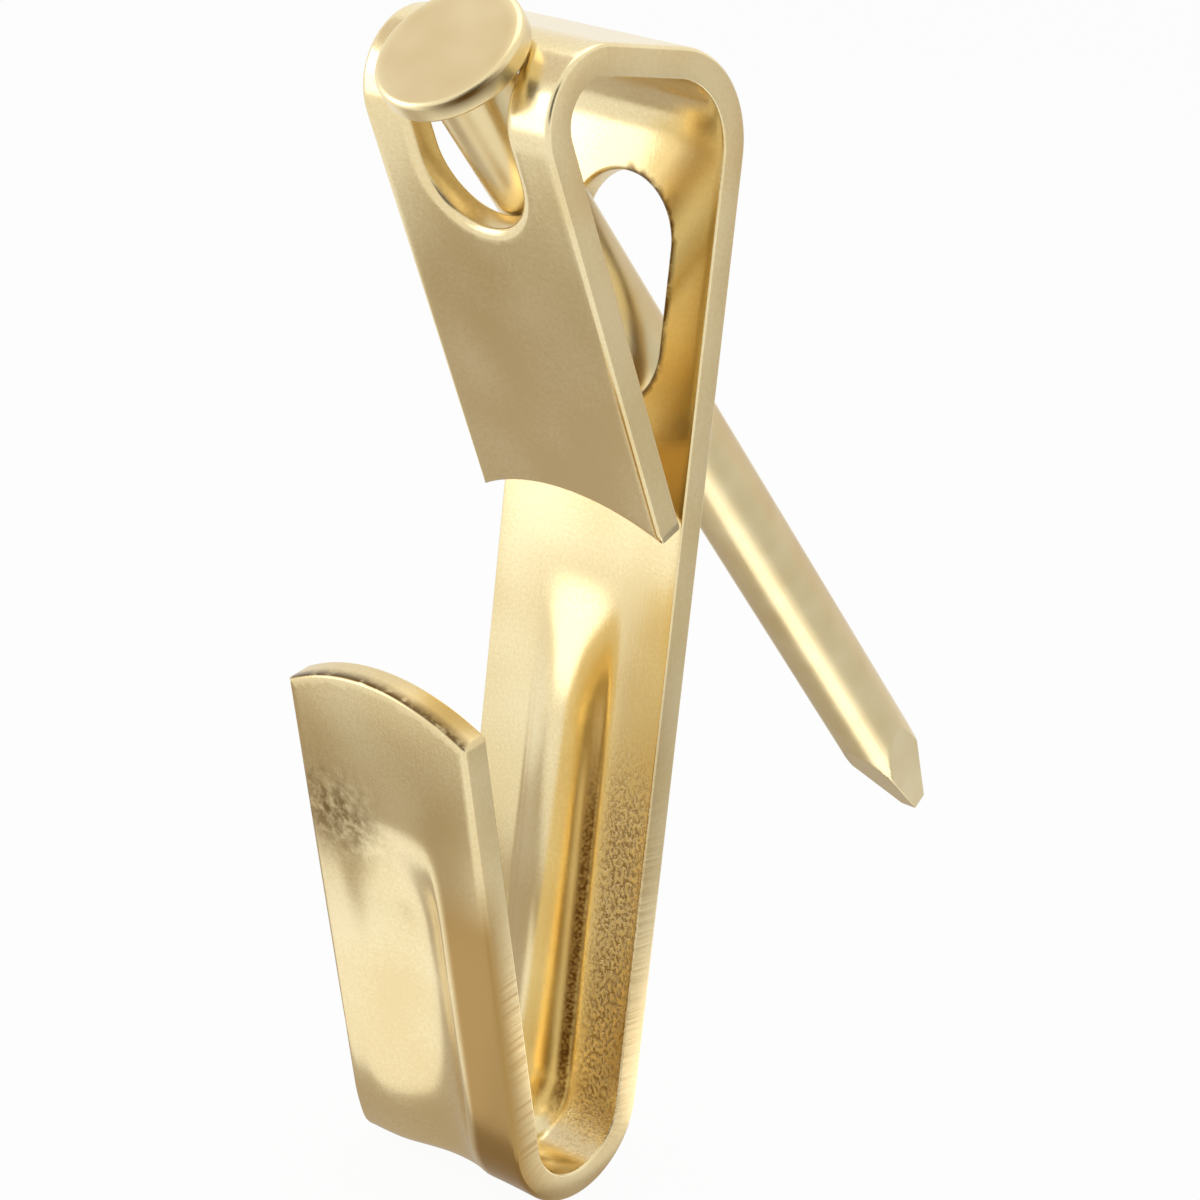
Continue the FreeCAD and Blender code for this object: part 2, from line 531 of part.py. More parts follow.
def make_nail():
    """The nail, turned along its own axis and then laid into the two slots."""
    body = document.addObject("PartDesign::Body", "nail")
    body.Label = "nail"
    section = new_sketch(body, "nail_section", "XZ_Plane")
    draw_nail(section)
    blank = body.newObject("PartDesign::Revolution", "nail_blank")
    blank.Profile = section
    blank.ReferenceAxis = (section, ["V_Axis"])
    blank.Angle = 360
    blank.Refine = False
    document.recompute()

    rounded = body.newObject("PartDesign::Fillet", "rounded_head")
    rounded.Base = (blank, rim_edges(blank.Shape))
    rounded.setExpression("Radius", "Sizes.head_round")
    rounded.Refine = False

    facet = new_sketch(body, "point_facet", "XZ_Plane")
    draw_facet(facet)
    flat = body.newObject("PartDesign::Pocket", "point_flat")
    flat.Profile = facet
    flat.SideType = "Symmetric"
    flat.setExpression("Length", "2 * Sizes.nail_diameter")
    flat.Refine = False
    document.recompute()

    point = body.newObject("PartDesign::PolarPattern", "point")
    point.Originals = [flat]
    point.Axis = (section, ["V_Axis"])
    point.Angle = 360
    point.Occurrences = 4
    point.Refine = False
    body.Tip = point
    body.Placement = Placement(Vector(), Rotation(X_AXIS, 1))
    body.setExpression("Placement.Rotation.Angle", "(90 - Sizes.nail_slope) * 1 deg")
    return body


def check_features(body):
    """Stop if a feature failed, or if a cut or an addition changed nothing."""
    document.recompute()
    for item in document.Objects:
        if "Invalid" in item.State or "Error" in item.State:
            raise RuntimeError(f"{item.Name} failed: {item.State}")
    volume = 0.0
    for feature in body.Group:
        if not feature.isDerivedFrom("PartDesign::Feature"):
            continue
        if abs(feature.Shape.Volume - volume) < 1e-3:
            raise RuntimeError(f"{feature.Name} changed nothing")
        print(feature.Name, round(feature.Shape.Volume - volume, 3), "mm3")
        volume = feature.Shape.Volume
    if body.Shape.isNull() or not body.Shape.isValid() or len(body.Shape.Solids) != 1:
        raise RuntimeError(f"{body.Label} is not one valid solid")


bodies = [make_hook(), make_nail()]
for piece in bodies:
    check_features(piece)
os.makedirs("parts", exist_ok=True)
for piece in bodies:
    piece.Shape.exportStep(f"parts/{piece.Label}.step")
    box = piece.Shape.BoundBox
    print(piece.Label, round(piece.Shape.Volume, 2), "mm3", [round(v, 2) for v in (
        box.XMin, box.XMax, box.YMin, box.YMax, box.ZMin, box.ZMax)])
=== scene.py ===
# %% [markdown]
# # A picture hook, dressed in brass plating
# The real thing is one strip of steel, punched flat, ribbed, folded twice and plated with brass, and the
# nail that pins it to a wall. The CAD model gives the sizes. This lesson loads it, remakes the strip the
# way a press does (flat blank, then rib, then folds), shapes the nail, gives both a plated finish and
# lights them softly.

# %% Load the CAD frame
from math import acos, ceil, cos, degrees, pi, radians, sin, tau

import bmesh
import bpy
from mathutils import Matrix, Vector
from mathutils.geometry import delaunay_2d_cdt


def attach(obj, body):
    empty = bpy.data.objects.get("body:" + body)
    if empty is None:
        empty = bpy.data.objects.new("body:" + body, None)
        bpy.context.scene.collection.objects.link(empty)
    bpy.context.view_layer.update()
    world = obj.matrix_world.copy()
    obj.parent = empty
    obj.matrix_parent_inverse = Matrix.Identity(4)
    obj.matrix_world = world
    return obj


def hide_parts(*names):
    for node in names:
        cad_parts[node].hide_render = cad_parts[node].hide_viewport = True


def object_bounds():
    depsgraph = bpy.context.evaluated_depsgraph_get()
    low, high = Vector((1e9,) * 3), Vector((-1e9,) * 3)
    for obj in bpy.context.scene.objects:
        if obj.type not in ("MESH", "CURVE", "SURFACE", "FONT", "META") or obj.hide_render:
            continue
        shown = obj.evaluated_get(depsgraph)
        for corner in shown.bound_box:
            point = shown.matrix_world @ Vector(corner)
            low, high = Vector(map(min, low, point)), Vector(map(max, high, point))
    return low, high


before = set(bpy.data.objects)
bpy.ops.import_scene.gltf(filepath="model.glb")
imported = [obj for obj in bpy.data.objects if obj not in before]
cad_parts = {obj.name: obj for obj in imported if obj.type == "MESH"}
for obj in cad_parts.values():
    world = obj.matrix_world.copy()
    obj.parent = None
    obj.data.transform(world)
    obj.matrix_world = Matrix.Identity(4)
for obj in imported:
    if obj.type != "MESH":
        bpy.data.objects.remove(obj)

cad_box = [list(corner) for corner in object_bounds()]
MM = 0.001
scene = bpy.context.scene
print("CAD box in mm:", [[round(v / MM, 2) for v in corner] for corner in cad_box])

# %% [markdown]
# ## Small helpers
# Every node tree below, for geometry and for materials, is built with one function that adds a node, sets
# it up and links it. Colours are written as they look on screen, in sRGB hex, and turned to linear in one
# place.


# %% Helpers for nodes, colours and objects
def node(tree, kind, inputs=None, **settings):
    """Add a node, apply its settings, then fill its sockets with values or links.

    A node given as a value is linked by its first output.
    """
    made = tree.nodes.new(kind)
    for name, value in settings.items():
        setattr(made, name, value)
    for socket, value in (inputs or {}).items():
        if isinstance(value, bpy.types.Node):
            value = value.outputs[0]
        if isinstance(value, bpy.types.NodeSocket):
            tree.links.new(value, made.inputs[socket])
        else:
            made.inputs[socket].default_value = value
    return made


# The kinds of node used most: arithmetic, and mapping one range of values to another.
MATH, MAP_RANGE = "ShaderNodeMath", "ShaderNodeMapRange"


def linear(hex_colour):
    """Turn a colour such as "EFD9A2" from sRGB to the linear values that shaders use."""
    channels = [int(hex_colour[i:i + 2], 16) / 255 for i in (0, 2, 4)]
    bent = [c / 12.92 if c <= 0.04045 else ((c + 0.055) / 1.055) ** 2.4 for c in channels]
    return (*bent, 1.0)


def link_object(name, data):
    """Put a mesh, curve, lamp or camera into the scene as an object."""
    made = bpy.data.objects.new(name, data)
    scene.collection.objects.link(made)
    return made


print("a middle grey, 808080, is", round(linear("808080")[0], 3), "in linear light")

# %% [markdown]
# ## The camera
# The photograph was taken from the front right and a little above, with a long lens. The camera could be
# placed by eye, but here its place, turn and lens come from a perspective fit of the strip's edges to the
# photograph, so the render can be laid over it.

# %% Camera
CAMERA_PLACE = Vector((83.430, -97.741, 28.163)) * MM
CAMERA_AZIMUTH, CAMERA_ELEVATION, CAMERA_ROLL = radians(40.496), radians(16.844), radians(-6.086)
CAMERA_LENS, SENSOR_WIDTH, NEAREST_SEEN = 100.67, 36, 10

forward = Vector((-sin(CAMERA_AZIMUTH) * cos(CAMERA_ELEVATION),
                  cos(CAMERA_AZIMUTH) * cos(CAMERA_ELEVATION),
                  -sin(CAMERA_ELEVATION)))
level_right = Vector((cos(CAMERA_AZIMUTH), sin(CAMERA_AZIMUTH), 0))
level_down = forward.cross(level_right)
camera_right = cos(CAMERA_ROLL) * level_right + sin(CAMERA_ROLL) * level_down
camera_down = cos(CAMERA_ROLL) * level_down - sin(CAMERA_ROLL) * level_right
camera_data = bpy.data.cameras.new("photo_camera")
camera_data.lens = CAMERA_LENS
camera_data.sensor_width = SENSOR_WIDTH
camera_data.clip_start = NEAREST_SEEN * MM
camera = link_object("photo_camera", camera_data)
turn = Matrix((camera_right, -camera_down, -forward)).transposed()
camera.matrix_world = Matrix.Translation(CAMERA_PLACE) @ turn.to_4x4()
scene.camera = camera
print("camera at", [round(v / MM, 1) for v in CAMERA_PLACE], "mm, lens", CAMERA_LENS, "mm")

# %% [markdown]
# ## The path of the fold
# Seen from the side, the strip is a chain of straight runs and round bends. Its outline could be drawn
# point by point, but then no size could be changed alone. Instead a turtle walks along the outer face: up
# the tongue, over the two bends of the loop, down the plate, round the U-bend and up the lip. All its turns
# go the same way, so the outer face is always on its left. The points become a curve that the strip follows.

# %% Fold path
STRIP_WIDTH, STRIP_THICKNESS = 9.5, 1.2
PLATE_LENGTH, PLATE_TOP = 38.8, 8.0175
HOOK_BEND, REAR_BEND, FRONT_BEND = (radius + STRIP_THICKNESS for radius in (2.3, 3.1, 1.55))
LIP_LEAN, TOP_RISE, TONGUE_SLANT = 16.6, 3.8, 28.5
TOP_LENGTH, TONGUE_LENGTH, LIP_LENGTH, END_BOW = 4.1, 17.5, 19.3, 1.2

FRONT_TURN, REAR_TURN, HOOK_TURN = 90 + TONGUE_SLANT + TOP_RISE, 90 - TOP_RISE, 180 - LIP_LEAN
FOLDS = (
    ("tongue", TONGUE_LENGTH, 0),
    ("front bend", FRONT_BEND * radians(FRONT_TURN), FRONT_TURN),
    ("top", TOP_LENGTH, 0),
    ("rear bend", REAR_BEND * radians(REAR_TURN), REAR_TURN),
    ("plate", PLATE_LENGTH, 0),
    ("hook bend", HOOK_BEND * radians(HOOK_TURN), HOOK_TURN),
    ("lip", LIP_LENGTH + END_BOW, 0),
)
PATH_STEP = 0.1


def walk_folds():
    """Points of the outer face in side view as (y, z), and the distance at which each run starts."""
    place, heading, travelled = Vector((0, 0)), radians(90 + TONGUE_SLANT), 0.0
    points, starts = [place], {}
    for name, length, angle in FOLDS:
        starts[name] = travelled
        if name == "plate":
            shift = Vector((0, PLATE_TOP)) - place
        steps = ceil(length / PATH_STEP)
        half_turn = radians(angle) / steps / 2
        chord = length / steps
        if angle:
            chord *= sin(half_turn) / half_turn
        for _ in range(steps):
            heading -= half_turn
            place = place + chord * Vector((cos(heading), sin(heading)))
            heading -= half_turn
            points.append(place)
        travelled += length
    starts["end"] = travelled
    return [point + shift for point in points], starts


path_points, run_start = walk_folds()
path_curve = bpy.data.curves.new("fold_path", "CURVE")
path_curve.dimensions = "3D"
path_spline = path_curve.splines.new("POLY")
path_spline.points.add(len(path_points) - 1)
for knot, (y, z) in zip(path_spline.points, path_points):
    knot.co = (0, y * MM, z * MM, 1)
fold_path = link_object("fold_path", path_curve)
STRIP_LENGTH = run_start["end"]
print("strip unfolds to", round(STRIP_LENGTH, 2), "mm; runs start at",
      {name: round(at, 2) for name, at in run_start.items()})

# %% [markdown]
# ## The flat blank
# A press punches the blank from plain strip: two round-ended slots for the nail, and ends parted by one
# curved cut, hollow on the tongue and round on the lip. Booleans on a box would make these holes too, but
# they leave knife-sharp edges and uneven faces that bend badly. So the blank is built from its outlines,
# drawn here as evenly spaced points.

# %% Outlines of the blank
EDGE_STEP = 0.22
SLOT_WIDTH, BACK_SLOT_LENGTH = 5.1, 9.1
SLOT_RADIUS = SLOT_WIDTH / 2
PLATE_SLOT_DROP = 2.4025
TONGUE_SLOT_END = 4.075
BEND_SLOT_TOP = 76.0
END_RADIUS = (STRIP_WIDTH ** 2 / 4 + END_BOW ** 2) / (2 * END_BOW)


def spaced(start, end):
    """Points from start up to, but not including, end, about one edge step apart."""
    start, end = Vector(start), Vector(end)
    steps = max(1, ceil((end - start).length / EDGE_STEP))
    return [start.lerp(end, i / steps) for i in range(steps)]


def sweep(centre, radius, first, last):
    """Points on an arc from one angle up to, but not including, another."""
    steps = ceil(abs(last - first) * radius / EDGE_STEP)
    angles = [first + (last - first) * i / steps for i in range(steps)]
    return [Vector((centre[0] + radius * cos(a), centre[1] + radius * sin(a))) for a in angles]


def obround(low, high):
    """Slot outline, counter-clockwise, between its two ends along the strip."""
    low_centre, high_centre = low + SLOT_RADIUS, high - SLOT_RADIUS
    return (sweep((0, low_centre), SLOT_RADIUS, pi, tau)
            + spaced((SLOT_RADIUS, low_centre), (SLOT_RADIUS, high_centre))
            + sweep((0, high_centre), SLOT_RADIUS, 0, pi)
            + spaced((-SLOT_RADIUS, high_centre), (-SLOT_RADIUS, low_centre)))


half_width = STRIP_WIDTH / 2
lip_corner = STRIP_LENGTH - END_BOW
end_lean = acos(half_width / END_RADIUS)
tongue_cut = sweep((0, END_BOW - END_RADIUS), END_RADIUS, pi - end_lean, end_lean)
right_side = spaced((half_width, 0), (half_width, lip_corner))
lip_cut = sweep((0, STRIP_LENGTH - END_RADIUS), END_RADIUS, end_lean, pi - end_lean)
left_side = spaced((-half_width, lip_corner), (-half_width, 0))
# The points beside the tongue's two sharp corners are left out: the rolled edge would cross itself there.
blank_outline = (tongue_cut[:1] + tongue_cut[2:-1] + right_side[:1] + right_side[2:]
                 + lip_cut + left_side[:-1])

back_slot_low = run_start["plate"] + PLATE_TOP + PLATE_SLOT_DROP - BACK_SLOT_LENGTH
front_slot_low = run_start["front bend"] - TONGUE_SLOT_END
front_slot_high = run_start["front bend"] + FRONT_BEND * radians(TONGUE_SLANT + BEND_SLOT_TOP)
slots = [obround(back_slot_low, back_slot_low + BACK_SLOT_LENGTH), obround(front_slot_low, front_slot_high)]
print("outline points:", len(blank_outline), "slot points:", [len(slot) for slot in slots])

# %% [markdown]
# ### Rolled and sheared edges
# A punch rolls the edge over where it goes in, shears the wall below and leaves a small burr on the far
# side. A Bevel modifier would round both edges alike. Here each outline is stepped towards the metal, ring
# by ring, so the roll on the outer face can be wide and flat and the burr on the inner one small and round.

# %% Rings over the cuts
OUTLINE_ROLL, OUTLINE_BURR = (0.22, 0.16), 0.10
SLOT_ROLL, SLOT_BURR = (0.42, 0.26), 0.18
ROLL_STEPS = 5
LEAST_MITRE = 0.45


def stepped(loop, inset, hole):
    """The outline moved towards the metal by inset, with mitred corners."""
    moved = []
    side = -1 if hole else 1
    for i, point in enumerate(loop):
        before = (point - loop[i - 1]).normalized()
        after = (loop[(i + 1) % len(loop)] - point).normalized()
        normals = [Vector((-d.y, d.x)) * side for d in (before, after)]
        mitre = (normals[0] + normals[1]).normalized()
        moved.append(point + mitre * (inset / max(LEAST_MITRE, mitre.dot(normals[0]))))
    return moved


def edge_rings(loop, hole, roll, burr):
    """Outlines and depths over a cut: rolled edge outside, straight sheared wall, small burr inside."""
    angles = [pi / 2 * i / ROLL_STEPS for i in range(ROLL_STEPS + 1)]
    rings = [(roll[0] * (1 - sin(a)), roll[1] * (1 - cos(a))) for a in angles]
    rings.append((0, STRIP_THICKNESS / 2))
    rings += [(burr * (1 - cos(a)), STRIP_THICKNESS - burr * (1 - sin(a))) for a in angles]
    return [(stepped(loop, inset, hole), depth) for inset, depth in rings]


ring_sets = [edge_rings(blank_outline, False, OUTLINE_ROLL, OUTLINE_BURR)]
ring_sets += [edge_rings(slot, True, SLOT_ROLL, SLOT_BURR) for slot in slots]
print("rings over each cut:", [len(rings) for rings in ring_sets])

# %% [markdown]
# ### Filled faces
# The two faces of the blank have to bend smoothly, so they need small, even faces. One large polygon would
# crease along its own hidden triangles, and a plain grid wouldn't meet the slots. A triangle fill joins an
# even grid of points to the outlines, and the triangles that bridge a slot are dropped.


# %% Filling a face
def inside(point, loop):
    """True where a point lies inside a closed outline."""
    within = False
    for a, b in zip(loop, loop[1:] + loop[:1]):
        if (a.y > point.y) != (b.y > point.y):
            if point.x < a.x + (point.y - a.y) * (b.x - a.x) / (b.y - a.y):
                within = not within
    return within


GRID_CLEARANCE, FILL_INSIDE, FILL_TOLERANCE = 0.6 * EDGE_STEP, 1, 1e-6


def fill_face(outline, holes):
    """Triangles over one face of the blank: its outlines plus an even grid of points between them."""
    points, edges = [], []
    for loop in [outline] + holes:
        first = len(points)
        points += loop
        edges += [(first + i, first + (i + 1) % len(loop)) for i in range(len(loop))]
    on_outline = len(points)
    columns = round(STRIP_WIDTH / EDGE_STEP)
    rows = round(STRIP_LENGTH / EDGE_STEP)
    # Outline points by the square millimetre that they lie in, so that only the near ones are measured.
    walls = {}
    for p in points:
        walls.setdefault((round(p.x), round(p.y)), []).append(p)
    for row in range(1, rows):
        for column in range(1, columns):
            p = Vector(((column / columns - 0.5) * STRIP_WIDTH, row / rows * STRIP_LENGTH))
            near = [q for i in (-1, 0, 1) for j in (-1, 0, 1)
                    for q in walls.get((round(p.x) + i, round(p.y) + j), ())]
            if any((p - q).length < GRID_CLEARANCE for q in near) or (near and not inside(p, outline)):
                continue
            if any(abs(p.y - hole[0].y) < 2 * STRIP_WIDTH and inside(p, hole) for hole in holes):
                continue
            points.append(p)
    flat, _, triangles, *_ = delaunay_2d_cdt(points, edges, [], FILL_INSIDE, FILL_TOLERANCE)
    kept = []
    for triangle in triangles:
        middle = sum((flat[i] for i in triangle), Vector((0, 0))) / 3
        bridging = all(i < on_outline for i in triangle)
        if not bridging or inside(middle, outline) and not any(inside(middle, hole) for hole in holes):
            kept.append(triangle)
    return flat, kept


print("faces are filled on a grid of", EDGE_STEP, "mm")

# %% [markdown]
# ### Putting the blank together
# The faces and the rings over the cuts are joined into one closed mesh. Its finish needs to know more than
# a place: which points are on a sheared wall, which are on the thin edges drawn with a dark line, and which
# face is the outer one. Painting that by hand would be lost with each change of size, so each point is
# marked by rule, and its place on the flat blank is kept as a UV map in millimetres.

# %% Flat blank
WALL_SLACK, EDGE_SLACK = 0.02, 0.01
DARK_RIM_WIDTH = 0.25 * OUTLINE_ROLL[0]
SAME_POINT = 1e-4


def on_slot_burr(point):
    """True on the right-hand burr of the back slot, which is drawn with a dark line."""
    middle = min(max(point.y, back_slot_low + SLOT_RADIUS), back_slot_low + BACK_SLOT_LENGTH - SLOT_RADIUS)
    from_cut = (point.xy - Vector((0, middle))).length - SLOT_RADIUS
    deep = point.z < SLOT_BURR - STRIP_THICKNESS + EDGE_SLACK
    return point.x > 0 and deep and from_cut < SLOT_BURR + EDGE_SLACK


def on_lip_rim(point):
    """True on the rolled edge round the lip's end, where it faces outwards."""
    from_centre = (point.xy - Vector((0, STRIP_LENGTH - END_RADIUS))).length
    return (point.y > lip_corner and point.z > -OUTLINE_ROLL[1]
            and from_centre > END_RADIUS - DARK_RIM_WIDTH)


blank = bmesh.new()
cut_edge = blank.verts.layers.float.new("cut_edge")
tarnish = blank.verts.layers.float.new("tarnish")
outer_face = blank.verts.layers.float.new("outer_face")
for end, level in ((0, 0.0), (-1, -STRIP_THICKNESS)):
    loops = [rings[end][0] for rings in ring_sets]
    flat, triangles = fill_face(loops[0], loops[1:])
    verts = [blank.verts.new((p.x, p.y, level)) for p in flat]
    for triangle in triangles:
        blank.faces.new([verts[i] for i in triangle])
wall_top, wall_bottom = OUTLINE_ROLL[1] - WALL_SLACK, STRIP_THICKNESS - OUTLINE_BURR + WALL_SLACK
for rings in ring_sets:
    rows = []
    for loop, depth in rings:
        row = [blank.verts.new((p.x, p.y, -depth)) for p in loop]
        for vert in row:
            vert[cut_edge] = 1.0 if wall_top <= depth <= wall_bottom else 0.0
        rows.append(row)
    for upper, lower in zip(rows, rows[1:]):
        count = len(upper)
        for i in range(count):
            blank.faces.new((upper[i], upper[(i + 1) % count], lower[(i + 1) % count], lower[i]))
bmesh.ops.remove_doubles(blank, verts=blank.verts, dist=SAME_POINT)
bmesh.ops.recalc_face_normals(blank, faces=blank.faces)
for vert in blank.verts:
    # A dark line on the back slot's burr and round the lip's end.
    vert[tarnish] = 1.0 if on_slot_burr(vert.co) or on_lip_rim(vert.co) else 0.0
    vert[outer_face] = 1.0 + vert.co.z / STRIP_THICKNESS
flat_map = blank.loops.layers.uv.new("flat")
for face in blank.faces:
    face.smooth = True
    for loop in face.loops:
        loop[flat_map].uv = loop.vert.co.xy
open_edges = sum(1 for edge in blank.edges if len(edge.link_faces) != 2)
bmesh.ops.scale(blank, vec=(MM, MM, MM), verts=blank.verts)
blank_mesh = bpy.data.meshes.new("flat_blank")
blank.to_mesh(blank_mesh)
blank.free()
strip = link_object("hook_strip", blank_mesh)
print("flat blank:", len(blank_mesh.polygons), "faces,", open_edges, "open edges")

# %% [markdown]
# ## Plated finish of the strip
# Bright brass plating is a thin yellow metal skin over rolled steel. It mirrors its surroundings, a little
# blurred by the rolling lines of the sheet, so its colour comes from reflections: pale straw where it sees
# light, tan where it sees less, deep amber where brass mirrors brass. A painted picture of that would be
# wrong from every other side, so the material mostly holds what is truly on the metal: a colour that varies
# by a few percent, and wear. It also holds painted shade beside the rib, on the rib's right flank and on the
# lip's right margin. Patterns that follow the strip read the flat blank's own map, in millimetres, so they
# bend with the metal.

# %% Patterns of the plated sheet
# Name: size across and along the strip in mm, detail and roughness. Real rolling lines are hair fine: they
# are drawn this coarse to show. The pits come from stamping and the ticks from the punch.
DRAWN_PATTERNS = {
    "lines": ((0.12, 3.0), 2.0, 0.5),
    "pit": ((0.15, 0.22), 2.0, 0.6),
    "tick": ((0.6, 0.3), 3.0, 0.5),
}
# Name: size in mm, detail and roughness. They are clouding from the plating bath, the grain of the plating,
# and blotches where the press rubbed.
EVEN_PATTERNS = {
    "cloud": (5.0, 1.0, 0.5),
    "grain": (0.15, 2.0, 0.5),
    "blotch": (0.5, 4.0, 0.65),
}


def strip_patterns(tree):
    """Sockets of the strip's patterns and marks, each from 0 to 1, and the spot on the flat blank in mm."""
    flat = node(tree, "ShaderNodeUVMap", uv_map="flat")
    place = node(tree, "ShaderNodeTexCoord").outputs["Object"]
    in_mm = node(tree, "ShaderNodeMapping", {"Vector": place, "Scale": (1 / MM, 1 / MM, 1 / MM)})
    found = {"spot": node(tree, "ShaderNodeSeparateXYZ", {0: flat}).outputs}
    for name, ((across, along), detail, roughness) in DRAWN_PATTERNS.items():
        drawn = node(tree, "ShaderNodeMapping", {"Vector": flat, "Scale": (1 / across, 1 / along, 1)})
        found[name] = node(tree, "ShaderNodeTexNoise", {
            "Vector": drawn, "Scale": 1.0, "Detail": detail, "Roughness": roughness})
    for name, (size, detail, roughness) in EVEN_PATTERNS.items():
        found[name] = node(tree, "ShaderNodeTexNoise", {
            "Vector": in_mm, "Scale": 1 / size, "Detail": detail, "Roughness": roughness})
    for name in ("cut_edge", "tarnish", "outer_face"):
        found[name] = node(tree, "ShaderNodeAttribute", attribute_name=name).outputs["Fac"]
    found["inner_face"] = node(tree, MATH, {0: 1.0, 1: found["outer_face"]}, operation="SUBTRACT")
    return found


print("patterns of the strip:", ", ".join((*DRAWN_PATTERNS, *EVEN_PATTERNS)))

# %% [markdown]
# ### Where the strip is worn and where shade is painted
# The marks of the press show through the thin plating in a few places: pits beside the rib, a smear on the
# lip, and the lip's sheared edge, which the punch ticked across. Painted shade lies in three more: the
# plate's margin beside the rib is darkened, the rib's right flank carries a dark line, and the lip's right
# margin is dulled. A hand-painted mask would show this too, but each place is simple: a soft-edged rectangle
# on one face of the flat blank. It is written in millimetres, from the same runs as the folds.

# %% Worn places and painted shade
plate_start, bend_start, lip_start = (run_start[name] for name in ("plate", "hook bend", "lip"))
# Name: face, then left, right, start and end on the blank, then how far it fades across and along, in mm.
WORN_AND_SHADED_PLACES = {
    # The plate's margin right of the rib is darkened with painted shade.
    "shaded_margin": ("inner_face", (2.4, 5.5, plate_start + 20.0, bend_start + 2.5), (0.5, 3.0)),
    "pitted_margin": ("inner_face", (2.6, 4.6, plate_start + 25.5, bend_start + 2.5), (0.7, 3.0)),
    # The dark line along the rib's right flank is painted shade.
    "rib_flank_shade": ("inner_face", (1.6, 2.05, plate_start + 25.5, bend_start + 2.0), (0.15, 3.0)),
    "lip_smear": ("outer_face", (-5.0, -1.2, STRIP_LENGTH - 8.2, STRIP_LENGTH - 5.2), (1.4, 1.6)),
    # The lip's right margin is dulled with painted shade.
    "lip_shaded_margin": ("outer_face", (2.3, 6.0, lip_start - 3.0, lip_start + 12.5), (0.25, 2.0)),
}
TICKED_RUN, TICKED_FADE = (lip_start - 1.0, lip_start + 9.0), 2.0


def band(tree, value, low, high, soft):
    """1 between two values and 0 outside them, with soft borders."""
    rising, falling = (
        node(tree, MAP_RANGE, {"Value": value, "From Min": nought, "From Max": full},
             interpolation_type="SMOOTHSTEP")
        for nought, full in ((low - soft, low + soft), (high + soft, high - soft)))
    return node(tree, MATH, {0: rising, 1: falling}, operation="MULTIPLY")


def patch(tree, on_face, spot, place, soft):
    """1 inside a place (left, right, start, end) on one face of the blank, with soft borders (x, y)."""
    left, right, start, end = place
    spread = node(tree, MATH, {
        0: band(tree, spot["X"], left, right, soft[0]),
        1: band(tree, spot["Y"], start, end, soft[1])}, operation="MULTIPLY")
    return node(tree, MATH, {0: spread, 1: on_face}, operation="MULTIPLY")


print("worn places:", ", ".join(WORN_AND_SHADED_PLACES))

# %% [markdown]
# ### Layers of wear and painted shade
# Wear is never even. Each place is multiplied by a pattern, so that a smear is blotched, the painted shade
# on the rib's flank speckled and a margin pitted, and the brown line on a thin edge comes and goes. The
# painted shade on the plate's margin and on the lip's margin is left even. The results are shares from 0 to
# 1. They mix in duller colours, roughen the surface and sink it.

# %% Shares of wear and painted shade
# Name: pattern, where the mark starts in it and where it is full, and the least and the most share.
WEAR_AND_SHADE_PATTERNS = {
    "rubbed": ("blotch", 0.35, 0.6, 0.0, 1.0),
    "ragged": ("blotch", 0.3, 0.5, 0.35, 0.9),
    "speckled": ("grain", 0.4, 0.6, 0.45, 1.0),
    "hollow": ("pit", 0.46, 0.6, 0.0, 1.0),
    "tick_line": ("tick", 0.5, 0.6, 0.0, 0.45),
}
# Name: the two shares that are multiplied for it.
WEAR_AND_SHADE_PRODUCTS = {
    "smear": ("lip_smear", "rubbed"),
    # Painted shade on the rib's flank, speckled by the grain.
    "flank_shade": ("rib_flank_shade", "speckled"),
    "pit_cover": ("pitted_margin", "ragged"),
    "pits": ("pit_cover", "hollow"),
    "ticked_edge": ("cut_edge", "ticked_run"),
    "tick_dull": ("ticked_edge", "tick_line"),
    "brown_line": ("tarnish", "ragged"),
}
# Shares of the painted shade on the plate's margin, of the pits and of the sheared walls.
MARGIN_SHADE_SHARE, PIT_SHARE, EDGE_SHARE = 0.3, 0.6, 0.2


def strip_wear_and_shade(tree, sheet):
    """The strip's patterns with its places and shares of wear and of painted shade added."""
    wear_and_shade = dict(sheet)
    for name, (face, place, soft) in WORN_AND_SHADED_PLACES.items():
        wear_and_shade[name] = patch(tree, sheet[face], sheet["spot"], place, soft)
    wear_and_shade["ticked_run"] = band(tree, sheet["spot"]["Y"], *TICKED_RUN, TICKED_FADE)
    for name, (pattern, starts, full, least, most) in WEAR_AND_SHADE_PATTERNS.items():
        wear_and_shade[name] = node(tree, MAP_RANGE, {
            "Value": sheet[pattern], "From Min": starts, "From Max": full,
            "To Min": least, "To Max": most})
    for name, (first, second) in WEAR_AND_SHADE_PRODUCTS.items():
        wear_and_shade[name] = node(tree, MATH, {0: wear_and_shade[first], 1: wear_and_shade[second]}, operation="MULTIPLY")
    # Painted shade on the plate's margin, added to its pits.
    margin_shade = node(tree, MATH, {0: wear_and_shade["shaded_margin"], 1: MARGIN_SHADE_SHARE}, operation="MULTIPLY")
    wear_and_shade["margin"] = node(tree, MATH, {0: wear_and_shade["pits"], 1: PIT_SHARE, 2: margin_shade},
                          operation="MULTIPLY_ADD")
    wear_and_shade["edge"] = node(tree, MATH, {0: wear_and_shade["cut_edge"], 1: EDGE_SHARE, 2: wear_and_shade["tick_dull"]},
                        operation="MULTIPLY_ADD")
    return wear_and_shade


print("shares of wear:", ", ".join(WEAR_AND_SHADE_PRODUCTS))

